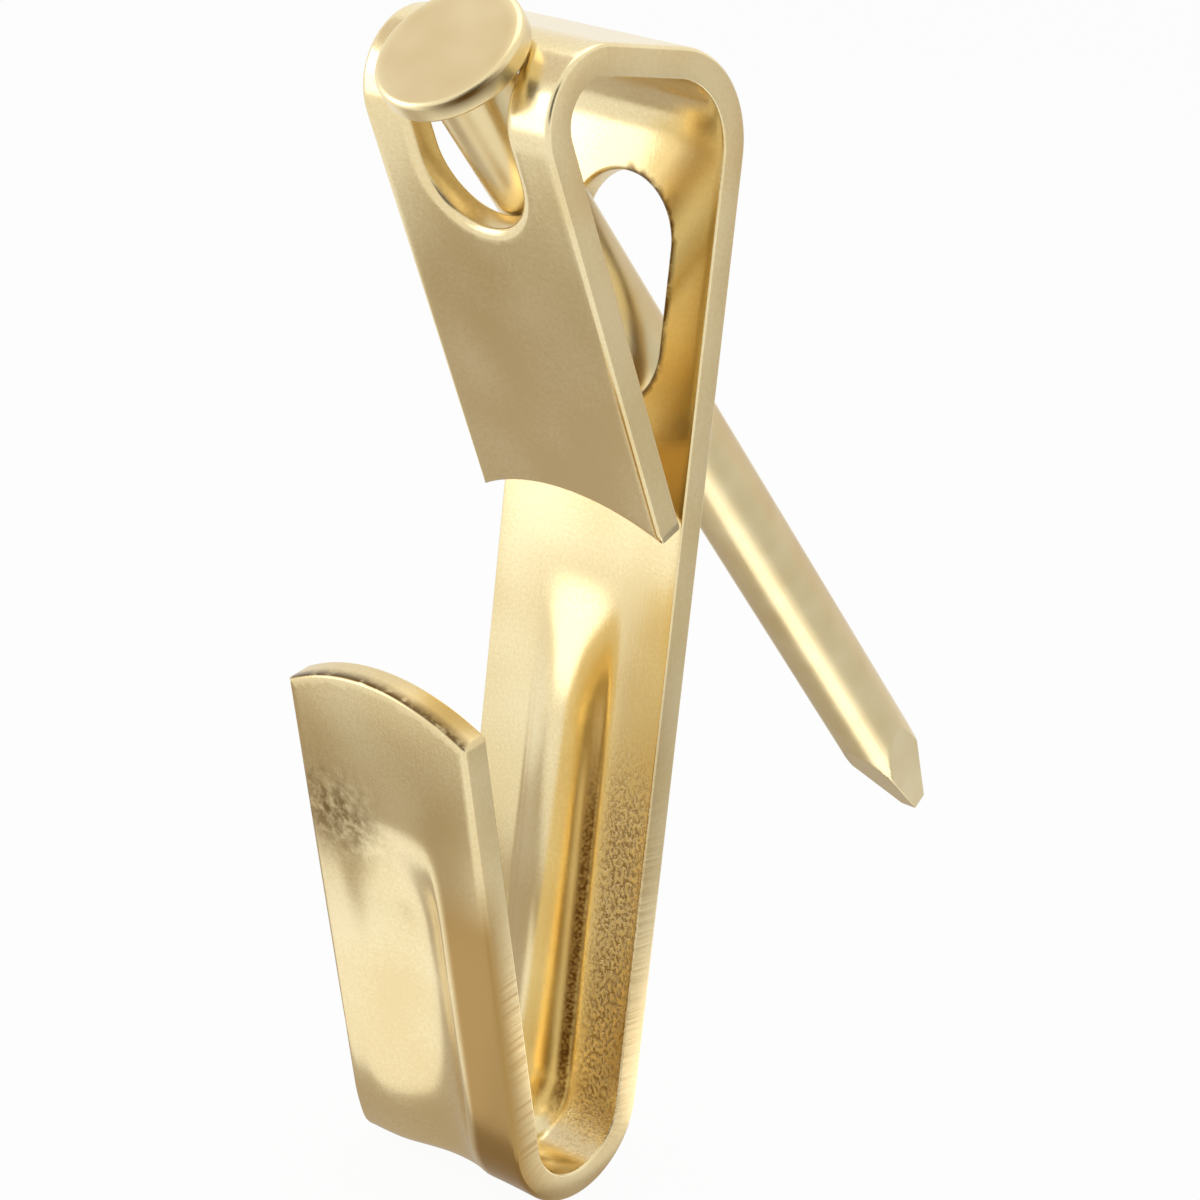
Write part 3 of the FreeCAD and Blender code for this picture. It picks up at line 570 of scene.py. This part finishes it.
# %% [markdown]
# ### The plating itself
# Brass-plated rolled steel: a metal, so its colour is its reflection, with a roughness of about 0.2 that
# blurs what it mirrors just enough to look rolled rather than polished. All wear and painted shade could be
# painted into one picture. Mixed over the clean colour one layer after another, each kind can be changed
# alone. Bumps of 0.003 to 0.03 mm break up the mirror.

# %% Brass plating on the strip
# The brown of the pits also paints the shade on the rib's flank and on the plate's margin. The dull brass
# dulls the sheared walls and paints the shade on the lip's margin. The darkest brown draws the dark line on
# the rims, which on the nail's head is painted shade.
PALE_BRASS, DEEP_BRASS, DULL_AND_SHADE_BRASS = "F3E3B6", "EAD5A2", "AC8A50"
PIT_AND_SHADE_BROWN, SMEAR_BROWN, DARK_RIM_BROWN = "86642E", "927848", "5A3E16"
WEAR_AND_SHADE_COLOURS = (("lip_shaded_margin", DULL_AND_SHADE_BRASS), ("smear", SMEAR_BROWN), ("flank_shade", PIT_AND_SHADE_BROWN),
                ("margin", PIT_AND_SHADE_BROWN), ("edge", DULL_AND_SHADE_BRASS), ("brown_line", DARK_RIM_BROWN))
GRAIN_SHARE, STRIP_ROUGHNESS, EDGE_ROUGHER, WORN_ROUGHER = 0.5, (0.18, 0.23), 0.12, 0.08
# Depths of relief in mm, and how strongly each shows.
TICK_DEPTH, LINE_DEPTH, GRAIN_DEPTH, PIT_DEPTH = 0.025, 0.003, 0.003, 0.03
LINE_STRENGTH, GRAIN_STRENGTH, PIT_STRENGTH = 0.5, 0.5, 0.8


def new_material(name):
    """An empty material and its node tree."""
    made = bpy.data.materials.new(name)
    made.use_nodes = True
    made.node_tree.nodes.clear()
    return made, made.node_tree


def plated_colour(tree, tone, layers):
    """Plating between its deep and its pale colour, under layers of wear and painted shade as (share,
    colour).
    """
    colour = node(tree, "ShaderNodeMix", {0: tone, 6: linear(DEEP_BRASS), 7: linear(PALE_BRASS)},
                  data_type="RGBA").outputs[2]
    for share, layer_colour in layers:
        colour = node(tree, "ShaderNodeMix", {0: share, 6: colour, 7: linear(layer_colour)},
                      data_type="RGBA").outputs[2]
    return colour


def relief(tree, layers):
    """Bumps added to a surface one after another, as (height, depth in mm, strength, sunk)."""
    below = {}
    for height, depth, strength, sunk in layers:
        bump = node(tree, "ShaderNodeBump", {
            "Height": height, "Distance": depth * MM, "Strength": strength, **below}, invert=sunk)
        below = {"Normal": bump}
    return bump


def strip_roughness(tree, wear_and_shade):
    """Nearly even gloss, rougher on sheared walls and where the press has rubbed."""
    rough = node(tree, MAP_RANGE, {
        "Value": wear_and_shade["cloud"], "From Min": 0.3, "From Max": 0.7,
        "To Min": STRIP_ROUGHNESS[0], "To Max": STRIP_ROUGHNESS[1]})
    edge_rough = node(tree, MATH, {0: wear_and_shade["cut_edge"], 1: EDGE_ROUGHER, 2: rough},
                      operation="MULTIPLY_ADD")
    worn = node(tree, MATH, {0: wear_and_shade["pitted_margin"], 1: wear_and_shade["lip_smear"]}, operation="MAXIMUM")
    return node(tree, MATH, {0: worn, 1: WORN_ROUGHER, 2: edge_rough}, operation="MULTIPLY_ADD")


def plated_strip():
    """Brass-plated rolled steel: bright, finely lined, with pits, smears, dull sheared edges and painted
    shade beside the rib and on the lip.
    """
    made, tree = new_material("brass_plated_rolled_steel")
    wear_and_shade = strip_wear_and_shade(tree, strip_patterns(tree))
    mixed = node(tree, MATH, {0: wear_and_shade["grain"], 1: GRAIN_SHARE, 2: wear_and_shade["cloud"]},
                 operation="MULTIPLY_ADD")
    tone = node(tree, MAP_RANGE, {"Value": mixed, "From Min": 0.6, "From Max": 0.9})
    layers = [(wear_and_shade[name], layer_colour) for name, layer_colour in WEAR_AND_SHADE_COLOURS]
    surface = relief(tree, (
        (wear_and_shade["tick"], TICK_DEPTH, wear_and_shade["ticked_edge"], False),
        (wear_and_shade["lines"], LINE_DEPTH, LINE_STRENGTH, False),
        (wear_and_shade["grain"], GRAIN_DEPTH, GRAIN_STRENGTH, False),
        (wear_and_shade["pits"], PIT_DEPTH, PIT_STRENGTH, True)))
    shader = node(tree, "ShaderNodeBsdfPrincipled", {
        "Base Color": plated_colour(tree, tone, layers), "Metallic": 1.0,
        "Roughness": strip_roughness(tree, wear_and_shade), "Normal": surface})
    node(tree, "ShaderNodeOutputMaterial", {"Surface": shader})
    return made


strip_finish = plated_strip()
print("finish:", strip_finish.name, "with", len(strip_finish.node_tree.nodes), "nodes")

# %% [markdown]
# ## Rib and folds as one rule
# On the real hook a die presses the stiffening rib and then the strip is folded. A Geometry Nodes tree does
# the same to the flat blank. Modelling the bent shape by hand would be slower and less exact. The first
# part of the rule is the rib: how far the die sinks the sheet at each point, measured from the rib's middle.
# Its section is part of a circle, with a softer left shoulder on the lip. It rises slowly out of the plate,
# sinks back into the lip, and is partly ironed out again on the outer face of the U-bend.

# %% Rule of the rib
RIB_WIDTH, RIB_HEIGHT, RIB_SHOULDER, LIP_SHOULDER = 4.1, 0.6, 0.14, 2.4
# Shares of the bend, from its middle, up to which the ironing is whole and at which it has ended.
IRONED_WHOLE, IRONED_END = 0.3, 1.0


def rib_section(tree, given, flat):
    """Depth of the rib across the strip: part of a circle with softened shoulders."""
    radius_squared = node(tree, MATH, {0: given["Rib radius"], 1: 2.0}, operation="POWER")
    across_squared = node(tree, MATH, {0: flat["X"], 1: flat["X"]}, operation="MULTIPLY")
    rest = node(tree, MATH, {0: radius_squared, 1: across_squared}, operation="SUBTRACT")
    above = node(tree, MATH, {0: rest, 1: 0.0}, operation="MAXIMUM")
    rise = node(tree, MATH, {0: above}, operation="SQRT")
    chord = node(tree, MATH, {0: given["Rib radius"], 1: given["Rib height"]}, operation="SUBTRACT")
    crown = node(tree, MATH, {0: rise, 1: chord}, operation="SUBTRACT")
    towards_lip = node(tree, MAP_RANGE, {
        "Value": flat["Y"], "From Min": given["Bend start"], "From Max": given["Bend end"]})
    towards_left = node(tree, MAP_RANGE, {
        "Value": flat["X"], "From Min": given["Rib height"], "From Max": given["Corner left"]})
    softened = node(tree, MATH, {0: towards_lip, 1: towards_left}, operation="MULTIPLY")
    shoulder = node(tree, MATH, {
        0: softened, 1: given["Lip shoulder"], 2: given["Rib shoulder"]}, operation="MULTIPLY_ADD")
    return node(tree, MATH, {0: crown, 1: 0.0, 2: shoulder}, operation="SMOOTH_MAX")


def rib_run(tree, given, flat):
    """Share of the rib's depth along the strip, from nothing on the plate to nothing on the lip."""
    from_plate, into_lip = (
        node(tree, MAP_RANGE, {
            "Value": flat["Y"], "From Min": given[part + " fade start"],
            "From Max": given[part + " fade end"]}, interpolation_type="SMOOTHSTEP")
        for part in ("Plate", "Lip"))
    lasting = node(tree, MATH, {0: 1.0, 1: into_lip}, operation="SUBTRACT")
    return node(tree, MATH, {0: from_plate, 1: lasting}, operation="MULTIPLY")


def left_by_ironing(tree, given, flat):
    """Share of the rib that is left: bending irons the groove on the outer face, not the ridge inside."""
    round_bend = node(tree, MAP_RANGE, {
        "Value": flat["Y"], "From Min": given["Bend start"], "From Max": given["Bend end"],
        "To Min": -1.0, "To Max": 1.0}, clamp=False)
    from_middle = node(tree, MATH, {0: round_bend}, operation="ABSOLUTE")
    ironed = node(tree, MAP_RANGE, {
        "Value": from_middle, "From Min": IRONED_WHOLE, "From Max": IRONED_END,
        "To Min": given["Ironing"], "To Max": 0.0}, interpolation_type="SMOOTHSTEP")
    depth_share = node(tree, MATH, {0: flat["Z"], 1: given["Sheet thickness"]}, operation="DIVIDE")
    outer_share = node(tree, MATH, {0: depth_share, 1: 1.0}, operation="ADD")
    lost = node(tree, MATH, {0: ironed, 1: outer_share}, operation="MULTIPLY")
    return node(tree, MATH, {0: 1.0, 1: lost}, operation="SUBTRACT")


print("rib:", RIB_WIDTH, "mm wide and", RIB_HEIGHT, "mm high")

# %% [markdown]
# ### The corner and the fold
# The U-bend of the real hook is tighter on the left: there the lip and the bottom run on, almost to a square
# corner. The rule lifts the surface from the round bend towards the two straight lines that touch it. Then
# each point, which still knows its distance along the strip, is carried to that distance on the fold path
# and set off from it along the normal.


# %% Rule of the corner and the fold
def corner_lift(tree, given, flat):
    """Lift from the round bend towards a square corner, full on the left side of the strip."""
    to_lip = node(tree, MATH, {0: given["Bend end"], 1: flat["Y"]}, operation="SUBTRACT")
    bent = node(tree, MATH, {0: to_lip, 1: given["Bend radius"]}, operation="DIVIDE")
    turned = node(tree, "ShaderNodeClamp", {"Value": bent, "Max": given["Corner angle"]})
    left_over = node(tree, MATH, {0: given["Corner angle"], 1: turned}, operation="SUBTRACT")
    tangents = []
    for angle in (turned, left_over):
        cosine = node(tree, MATH, {0: angle}, operation="COSINE")
        reach = node(tree, MATH, {0: given["Bend radius"], 1: cosine}, operation="DIVIDE")
        tangents.append(node(tree, MATH, {0: reach, 1: given["Bend radius"]}, operation="SUBTRACT"))
    square = node(tree, MATH, {0: tangents[0], 1: tangents[1], 2: given["Sheet thickness"]},
                  operation="SMOOTH_MIN")
    rise = node(tree, MATH, {0: square, 1: given["Corner share"]}, operation="MULTIPLY")
    side = node(tree, MAP_RANGE, {
        "Value": flat["X"], "From Min": given["Corner right"], "From Max": given["Corner left"]},
        interpolation_type="SMOOTHSTEP")
    return node(tree, MATH, {0: rise, 1: side}, operation="MULTIPLY")


def place_on_path(tree, given, flat, level):
    """Place of each point: its distance along the fold path, its level above it, and its place across."""
    path = node(tree, "GeometryNodeObjectInfo", {"Object": given["Fold path"]}).outputs["Geometry"]
    on_path = node(tree, "GeometryNodeSampleCurve", {"Curves": path, "Length": flat["Y"]}, mode="LENGTH",
                   use_all_curves=False).outputs
    outward = node(tree, "ShaderNodeVectorMath", {0: (1, 0, 0), 1: on_path["Tangent"]},
                   operation="CROSS_PRODUCT")
    lifted = node(tree, "ShaderNodeVectorMath", {0: outward, "Scale": level}, operation="SCALE")
    sideways = node(tree, "ShaderNodeCombineXYZ", {"X": flat["X"]})
    moved = node(tree, "ShaderNodeVectorMath", {0: on_path["Position"], 1: lifted}, operation="ADD")
    return node(tree, "ShaderNodeVectorMath", {0: moved, 1: sideways}, operation="ADD")


print("path of the fold has", len(path_points), "points")

# %% [markdown]
# ### The tree and its run
# The rules become one tree whose sizes are named inputs. It ends in Realize Instances and Set Material, and
# its result is kept as a plain mesh, because the exported part has no modifiers.

# %% Geometry Nodes tree for the rib and the folds
FOLD_SIZES = {
    "Rib radius": (RIB_WIDTH ** 2 / 4 + RIB_HEIGHT ** 2) / (2 * RIB_HEIGHT),
    "Rib height": RIB_HEIGHT,
    "Rib shoulder": RIB_SHOULDER,
    "Lip shoulder": LIP_SHOULDER,
    "Plate fade start": bend_start - 21.5,
    "Plate fade end": bend_start - 15.3,
    "Lip fade start": lip_start + 10.0,
    "Lip fade end": lip_start + 14.5,
    "Bend start": bend_start,
    "Bend end": lip_start,
    "Bend radius": HOOK_BEND,
    "Sheet thickness": STRIP_THICKNESS,
    "Corner left": -0.5 * STRIP_WIDTH,
    "Corner right": 0.4 * STRIP_WIDTH,
}
FOLD_SHARES = {"Ironing": 0.75, "Corner angle": radians(90 - LIP_LEAN), "Corner share": 0.6}


def rib_and_fold_tree():
    """Tree that presses the rib into the flat blank and folds it along the path."""
    tree = bpy.data.node_groups.new("rib_and_fold", "GeometryNodeTree")
    tree.is_modifier = True
    tree.interface.new_socket("Geometry", in_out="INPUT", socket_type="NodeSocketGeometry")
    tree.interface.new_socket("Fold path", in_out="INPUT", socket_type="NodeSocketObject")
    for name in (*FOLD_SIZES, *FOLD_SHARES):
        tree.interface.new_socket(name, in_out="INPUT", socket_type="NodeSocketFloat")
    tree.interface.new_socket("Finish", in_out="INPUT", socket_type="NodeSocketMaterial")
    tree.interface.new_socket("Geometry", in_out="OUTPUT", socket_type="NodeSocketGeometry")
    given = node(tree, "NodeGroupInput").outputs
    position = node(tree, "GeometryNodeInputPosition")
    flat = node(tree, "ShaderNodeSeparateXYZ", {0: position}).outputs

    pressed = node(tree, MATH, {
        0: rib_section(tree, given, flat), 1: rib_run(tree, given, flat)}, operation="MULTIPLY")
    sunk = node(tree, MATH, {0: pressed, 1: left_by_ironing(tree, given, flat)}, operation="MULTIPLY")
    ribbed = node(tree, MATH, {0: flat["Z"], 1: sunk}, operation="SUBTRACT")
    level = node(tree, MATH, {0: ribbed, 1: corner_lift(tree, given, flat)}, operation="ADD")
    folded = node(tree, "GeometryNodeSetPosition", {
        "Geometry": given["Geometry"], "Position": place_on_path(tree, given, flat, level)})
    real = node(tree, "GeometryNodeRealizeInstances", {"Geometry": folded})
    plated = node(tree, "GeometryNodeSetMaterial", {"Geometry": real, "Material": given["Finish"]})
    node(tree, "NodeGroupOutput", {"Geometry": plated})
    return tree


def run_nodes(piece, tree, values):
    """Run a tree on a piece and keep the result as a plain mesh."""
    modifier = piece.modifiers.new(tree.name, "NODES")
    modifier.node_group = tree
    sockets = {item.name: item.identifier for item in tree.interface.items_tree if item.in_out == "INPUT"}
    for name, value in values.items():
        modifier[sockets[name]] = value
    evaluated = piece.evaluated_get(bpy.context.evaluated_depsgraph_get())
    mesh = bpy.data.meshes.new_from_object(evaluated)
    piece.modifiers.remove(modifier)
    old = piece.data
    piece.data = mesh
    mesh.name = piece.name
    bpy.data.meshes.remove(old)


run_nodes(strip, rib_and_fold_tree(), {
    "Fold path": fold_path,
    "Finish": strip_finish,
    **FOLD_SHARES,
    **{name: size * MM for name, size in FOLD_SIZES.items()},
})
bpy.data.objects.remove(fold_path)
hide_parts("hook")
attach(strip, "root")
print("folded strip:", len(strip.data.polygons), "faces, size in mm",
      [round(v / MM, 2) for v in strip.dimensions])

# %% [markdown]
# ## The nail
# A nail is made from drawn wire: one end is struck into a flat head and the other is pinched to a
# four-sided point. It could be lathed with a Screw modifier, but then the point's four flats would have to
# be cut. Here each ring of the nail is written directly, and near the point the ring is the part of the
# round wire that lies inside a shrinking square.

# %% Rings of the nail
NAIL_SLOPE = radians(45.6)
NAIL_RADIUS, DRIVEN_RADIUS, GRIP_END, GRIP_TAPER = 1.625, 1.605, 1.739, 1.0
HEAD_UNDER, HEAD_TOP, HEAD_RADIUS = 15.6264, 16.6264, 2.95
HEAD_CROWN, RIM_ROUND, NECK_FLARE = 0.06, 0.22, 0.35
TIP_DEPTH, POINT_LENGTH, TIP_WIDTH = 33.7736, 6.3, 0.8
HEAD_RINGS, ROUND_RINGS, SHANK_RINGS, POINT_RINGS = 8, 6, 24, 40


def nail_rings():
    """Rings from the middle of the head to the tip: place along the axis, radius, and half the square."""
    quarter = [pi / 2 * i / ROUND_RINGS for i in range(ROUND_RINGS + 1)]
    head = [(HEAD_RADIUS - RIM_ROUND) * i / HEAD_RINGS for i in range(HEAD_RINGS + 1)]
    rings = [(HEAD_TOP - HEAD_CROWN * (r / HEAD_RADIUS) ** 2, r) for r in head]
    rings += [(HEAD_TOP - HEAD_CROWN - RIM_ROUND * (1 - cos(a)), HEAD_RADIUS - RIM_ROUND * (1 - sin(a)))
              for a in quarter[1:]]
    rings += [(HEAD_UNDER + RIM_ROUND * (1 - sin(a)), HEAD_RADIUS - RIM_ROUND * (1 - cos(a)))
              for a in quarter[1:]]
    rings += [(HEAD_UNDER - NECK_FLARE * (1 - cos(a)), NAIL_RADIUS + NECK_FLARE * (1 - sin(a)))
              for a in quarter]
    neck, shoulder = NECK_FLARE - HEAD_UNDER, TIP_DEPTH - POINT_LENGTH
    for i in range(1, SHANK_RINGS + 1):
        depth = neck + (shoulder - neck) * i / SHANK_RINGS
        driven = min(1, max(0, (depth - GRIP_END) / GRIP_TAPER))
        rings.append((-depth, NAIL_RADIUS + (DRIVEN_RADIUS - NAIL_RADIUS) * driven))
    # The square is as wide as the ring down to the shoulder, and shrinks from there to the tip.
    squared = [(height, r, r) for height, r in rings]
    for i in range(1, POINT_RINGS + 1):
        part = i / POINT_RINGS
        squared.append((-(shoulder + POINT_LENGTH * part), DRIVEN_RADIUS,
                        DRIVEN_RADIUS + (TIP_WIDTH / 2 - DRIVEN_RADIUS) * part))
    return squared


print("nail:", len(nail_rings()), "rings,", round(HEAD_TOP + TIP_DEPTH, 2), "mm long")

# %% [markdown]
# ### Joining the rings
# Faces between neighbouring rings make the skin. The head's rim is darkened on one side with painted shade.
# That mark goes into the mesh as an attribute, so it stays on the rim from every side.

# %% Nail
NAIL_SIDES = 128
# Where the painted shade on the head's rim lies: its height, half its band, its middle and half its spread
# in degrees.
RIM_DARK_HEIGHT, RIM_DARK_BAND, RIM_DARK_MIDDLE, RIM_DARK_HALF = HEAD_TOP - 0.28, 0.15, -38, 38
RIM_START = 0.98 * HEAD_RADIUS
SHARP_ANGLE = radians(20)


def rim_dark(height, angle):
    """1 in the middle of the painted shade on the upper side of the head's rim, fading to its ends."""
    off = abs((degrees(angle) + 180) % 360 - 180 - RIM_DARK_MIDDLE)
    in_band = abs(height - RIM_DARK_HEIGHT) < RIM_DARK_BAND
    return max(0.0, 1 - (off / RIM_DARK_HALF) ** 2) if in_band else 0.0


def make_nail():
    """Mesh of the nail, from the middle of its head to its tip."""
    mesh = bmesh.new()
    rim = mesh.verts.layers.float.new("tarnish")
    along = Vector((0, -cos(NAIL_SLOPE), sin(NAIL_SLOPE)))
    across = Vector((1, 0, 0))
    upward = along.cross(across)
    rows = []
    for height, radius, square in nail_rings():
        row = []
        for i in range(NAIL_SIDES):
            a = tau * (i + 0.5) / NAIL_SIDES
            r = min(radius, square / max(abs(cos(a)), abs(sin(a))))
            vert = mesh.verts.new((along * height + across * r * cos(a) + upward * r * sin(a)) * MM)
            vert[rim] = rim_dark(height, a) if r > RIM_START else 0.0
            row.append(vert)
        rows.append(row)
    for upper, lower in zip(rows, rows[1:]):
        for i in range(NAIL_SIDES):
            j = (i + 1) % NAIL_SIDES
            mesh.faces.new((upper[i], lower[i], lower[j], upper[j]))
    mesh.faces.new(rows[-1][::-1])
    bmesh.ops.remove_doubles(mesh, verts=mesh.verts, dist=SAME_POINT * MM)
    bmesh.ops.recalc_face_normals(mesh, faces=mesh.faces)
    for face in mesh.faces:
        face.smooth = True
    made = bpy.data.meshes.new("nail_wire")
    mesh.to_mesh(made)
    mesh.free()
    made.set_sharp_from_angle(angle=SHARP_ANGLE)
    return made


nail = link_object("nail_wire", make_nail())
print("nail:", len(nail.data.polygons), "faces, size in mm", [round(v / MM, 2) for v in nail.dimensions])

# %% [markdown]
# ## Finish of the nail
# The nail wears the same plating over drawn wire. Drawing leaves faint lines along the shank, and heading
# leaves the top of the head a little uneven. The strip's own finish would lay its rolling lines across the
# nail, so the nail has a simpler one, and a Mapping node turns its lines to run along the shank.

# %% Brass plating on drawn wire
# Sizes in mm: spacing and length of the drawing lines, and size of the shallow dents from heading.
DRAWING_LINE, DENT = (0.15, 6.0), 1.8
WIRE_ROUGHNESS = (0.28, 0.32)
DRAWING_DEPTH, DENT_DEPTH = 0.006, 0.015
DRAWING_STRENGTH, DENT_STRENGTH = 0.5, 0.3


def plated_wire():
    """Brass-plated drawn wire: softer gloss than the strip, faint lines along it, painted shade on one side
    of the rim.
    """
    made, tree = new_material("brass_plated_drawn_wire")
    place = node(tree, "ShaderNodeTexCoord").outputs["Object"]
    turned = node(tree, "ShaderNodeMapping", {
        "Vector": place, "Rotation": (NAIL_SLOPE - pi / 2, 0, 0),
        "Scale": (1 / MM, 1 / MM, 1 / MM)})
    spacing, length = DRAWING_LINE
    stretched = node(tree, "ShaderNodeMapping", {
        "Vector": turned, "Scale": (1 / spacing, 1 / spacing, 1 / length)})
    lines = node(tree, "ShaderNodeTexNoise", {"Vector": stretched, "Scale": 1.0, "Detail": 2.0})
    mottle = node(tree, "ShaderNodeTexNoise", {"Vector": turned, "Scale": 1 / DENT, "Detail": 1.0})
    tone = node(tree, MAP_RANGE, {"Value": mottle, "From Min": 0.2, "From Max": 0.8})
    # Painted shade on one side of the head's rim.
    rim = node(tree, "ShaderNodeAttribute", attribute_name="tarnish").outputs["Fac"]
    rough = node(tree, MAP_RANGE, {
        "Value": mottle, "From Min": 0.3, "From Max": 0.7,
        "To Min": WIRE_ROUGHNESS[0], "To Max": WIRE_ROUGHNESS[1]})
    surface = relief(tree, ((lines, DRAWING_DEPTH, DRAWING_STRENGTH, False),
                            (mottle, DENT_DEPTH, DENT_STRENGTH, False)))
    shader = node(tree, "ShaderNodeBsdfPrincipled", {
        "Base Color": plated_colour(tree, tone, [(rim, DARK_RIM_BROWN)]), "Metallic": 1.0,
        "Roughness": rough, "Normal": surface})
    node(tree, "ShaderNodeOutputMaterial", {"Surface": shader})
    return made


nail.data.materials.append(plated_wire())
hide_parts("nail")
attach(nail, "root")
print("finish:", nail.data.materials[0].name)

# %% [markdown]
# ## Light tent
# Small bright metal is photographed in a white tent, because it mirrors everything around it. A single
# lamp would leave it black with a few hot spots. So the world and the floor are white to the camera and to
# reflections. To all other light the world is a plain grey and the floor is matt paper.

# %% World and floor
WHITE, TENT_GREY, PAPER_WHITE = linear("FFFFFF"), linear("E6E6E6"), linear("F2F2F0")
TENT_STRENGTH, PAPER_ROUGHNESS, PAPER_SHARE = 0.7, 0.9, 0.95
FLOOR_HALF, FLOOR_GAP = 2.0, 0.1


def seen_directly(tree):
    """1 for rays that should see plain white: from the camera, in mirrors and through glass."""
    rays = node(tree, "ShaderNodeLightPath").outputs
    both = node(tree, MATH, {0: rays["Is Camera Ray"], 1: rays["Is Glossy Ray"]}, operation="MAXIMUM")
    return node(tree, MATH, {0: both, 1: rays["Is Transmission Ray"]}, operation="MAXIMUM")


world = bpy.data.worlds.new("light_tent")
world.use_nodes = True
sky = world.node_tree
sky.nodes.clear()
ambient = node(sky, "ShaderNodeBackground", {"Color": TENT_GREY, "Strength": TENT_STRENGTH})
backdrop = node(sky, "ShaderNodeBackground", {"Color": WHITE, "Strength": 1.0})
mixed_sky = node(sky, "ShaderNodeMixShader", {0: seen_directly(sky), 1: ambient, 2: backdrop})
node(sky, "ShaderNodeOutputWorld", {"Surface": mixed_sky})
scene.world = world

floor_mesh = bpy.data.meshes.new("floor")
floor_level = cad_box[0][2] - FLOOR_GAP * MM
floor_mesh.from_pydata([(x * FLOOR_HALF, y * FLOOR_HALF, floor_level)
                        for x, y in ((-1, -1), (1, -1), (1, 1), (-1, 1))], [], [(0, 1, 2, 3)])
floor = link_object("floor", floor_mesh)
# White paper, matt, that fades into the backdrop.
paper, paper_tree = new_material("white_paper")
matt = node(paper_tree, "ShaderNodeBsdfPrincipled", {
    "Base Color": PAPER_WHITE, "Roughness": PAPER_ROUGHNESS})
glow = node(paper_tree, "ShaderNodeEmission", {"Color": WHITE, "Strength": 1.0})
share = node(paper_tree, MATH, {0: seen_directly(paper_tree), 1: PAPER_SHARE}, operation="MULTIPLY")
paper_mix = node(paper_tree, "ShaderNodeMixShader", {0: share, 1: matt, 2: glow})
node(paper_tree, "ShaderNodeOutputMaterial", {"Surface": paper_mix})
floor_mesh.materials.append(paper)
print("floor", round(floor_level / MM, 2), "mm up, in a white tent")

# %% [markdown]
# ### Lamps and cards
# In an all-white tent bright metal goes flat, because it has nothing to mirror but white. A photographer
# adds soft lamps for broad highlights, and grey cards for the darker tones that show the shape. Here the
# cards are seen only in reflections: they throw no light on the floor and no shadow. Most lie on the floor,
# which the leaning lip and the sides of the nail mirror.


# %% Making lamps and cards
def facing(place, target):
    """Matrix of a flat thing at place whose -Z side faces target."""
    way = Vector(target) - Vector(place)
    return Matrix.Translation(Vector(place) * MM) @ way.to_track_quat("-Z", "Y").to_matrix().to_4x4()


def soft_lamp(name, place, target, size, glow):
    """Soft panel that looks glow times as bright as white paper."""
    data = bpy.data.lights.new(name, "AREA")
    data.shape = "RECTANGLE"
    data.size, data.size_y = size[0] * MM, size[1] * MM
    data.energy = glow * pi * data.size * data.size_y
    link_object(name, data).matrix_world = facing(place, target)


def card(name, corners, tone, glow=1.0):
    """Card or light sheet with the given corners in mm that only reflections see."""
    mesh = bpy.data.meshes.new(name)
    mesh.from_pydata([Vector(corner) * MM for corner in corners], [], [range(len(corners))])
    sheet = link_object(name, mesh)
    made, tree = new_material(name)
    lit = node(tree, "ShaderNodeEmission", {"Color": linear(tone), "Strength": glow})
    node(tree, "ShaderNodeOutputMaterial", {"Surface": lit})
    mesh.materials.append(made)
    sheet.visible_camera = False
    sheet.visible_diffuse = False
    sheet.visible_shadow = False


CARD_GAP = 0.05


def on_floor(*corners):
    """Corners (x, y) in mm, laid just above the floor."""
    return [(x, y, floor_level / MM + CARD_GAP) for x, y in corners]


print("cards lie", CARD_GAP, "mm above the floor")

# %% [markdown]
# ### Placing them
# The cards' places could be found by trial. Here they were worked out backwards, from the camera to a face
# of the object and on from there as a mirror sends the view, and then tuned. Each is named for the face that
# mirrors it or for where it is.

# %% Lamps and cards
soft_lamp("left_window", (-240, -230, 25), (0, -5, -10), (180, 230), 2.6)
soft_lamp("top_panel", (-60, 60, 300), (0, 0, 0), (260, 220), 1.0)
# Bright sheets, for the shine on the plate, the lip and the nail.
card("plate_window", [(-91, -68, -34), (-91, -68, 12), (-53, -100, 12), (-53, -100, -34)], "FFFFFF", 2.2)
card("lip_glow", on_floor((-22.5, -17.6), (-8, -17.6), (-7, -19.2), (-5, -19.2), (-2.5, -12), (0, -8.8),
                          (-11.5, -8.8)), "FFFFFF", 1.1)
card("nail_glow", on_floor((3, 4), (2, 22), (1.2, 36), (3, 36), (9.5, 24.5), (16, 16.5), (18, 4)),
     "FFFFFF", 1.8)
# Grey sheets on the floor, for the tan of faces that mirror it.
card("left_sheet", on_floor((-46, -17.6), (-46, 6), (-18, 6), (-11.5, -8.8), (-22.5, -17.6)), "BEB4AA")
card("front_sheet", on_floor((-46, -25), (-46, -17.6), (-8, -17.6), (-11, -22), (-12, -25)), "AC9E8A")
card("base_sheet", on_floor((-11.5, -8.8), (-14, 4), (6, 4), (6, -8.8)), "BEB4AA")
card("nail_sheet", on_floor((-40, 6), (-40, 36), (1.2, 36), (2, 22), (3, 6)), "B8B0A6")
card("right_sheet", on_floor((28, 8), (23, 21), (13, 27), (4, 36), (4, 160), (160, 160), (160, 8)), "D4D4D4")
# Cards that stand around the object or hang above it, for the tones of its edges and upper faces.
card("back_card", [(-60, 160, -34), (-60, 160, 40), (160, 160, 40), (160, 160, -34)], "DAD2CC")
card("camera_card", [(60, -260, -20), (60, -260, 220), (280, -160, 220), (280, -160, -20)], "707070")
card("ceiling_card", [(-320, -220, 230), (-320, 20, 230), (-120, 20, 230), (-120, -220, 230)], "E6DEDA")
print("lamps and cards placed")

# %% [markdown]
# The looks must not change the object's size. The Standard view keeps each colour as it was written.

scene.view_settings.view_transform = "Standard"
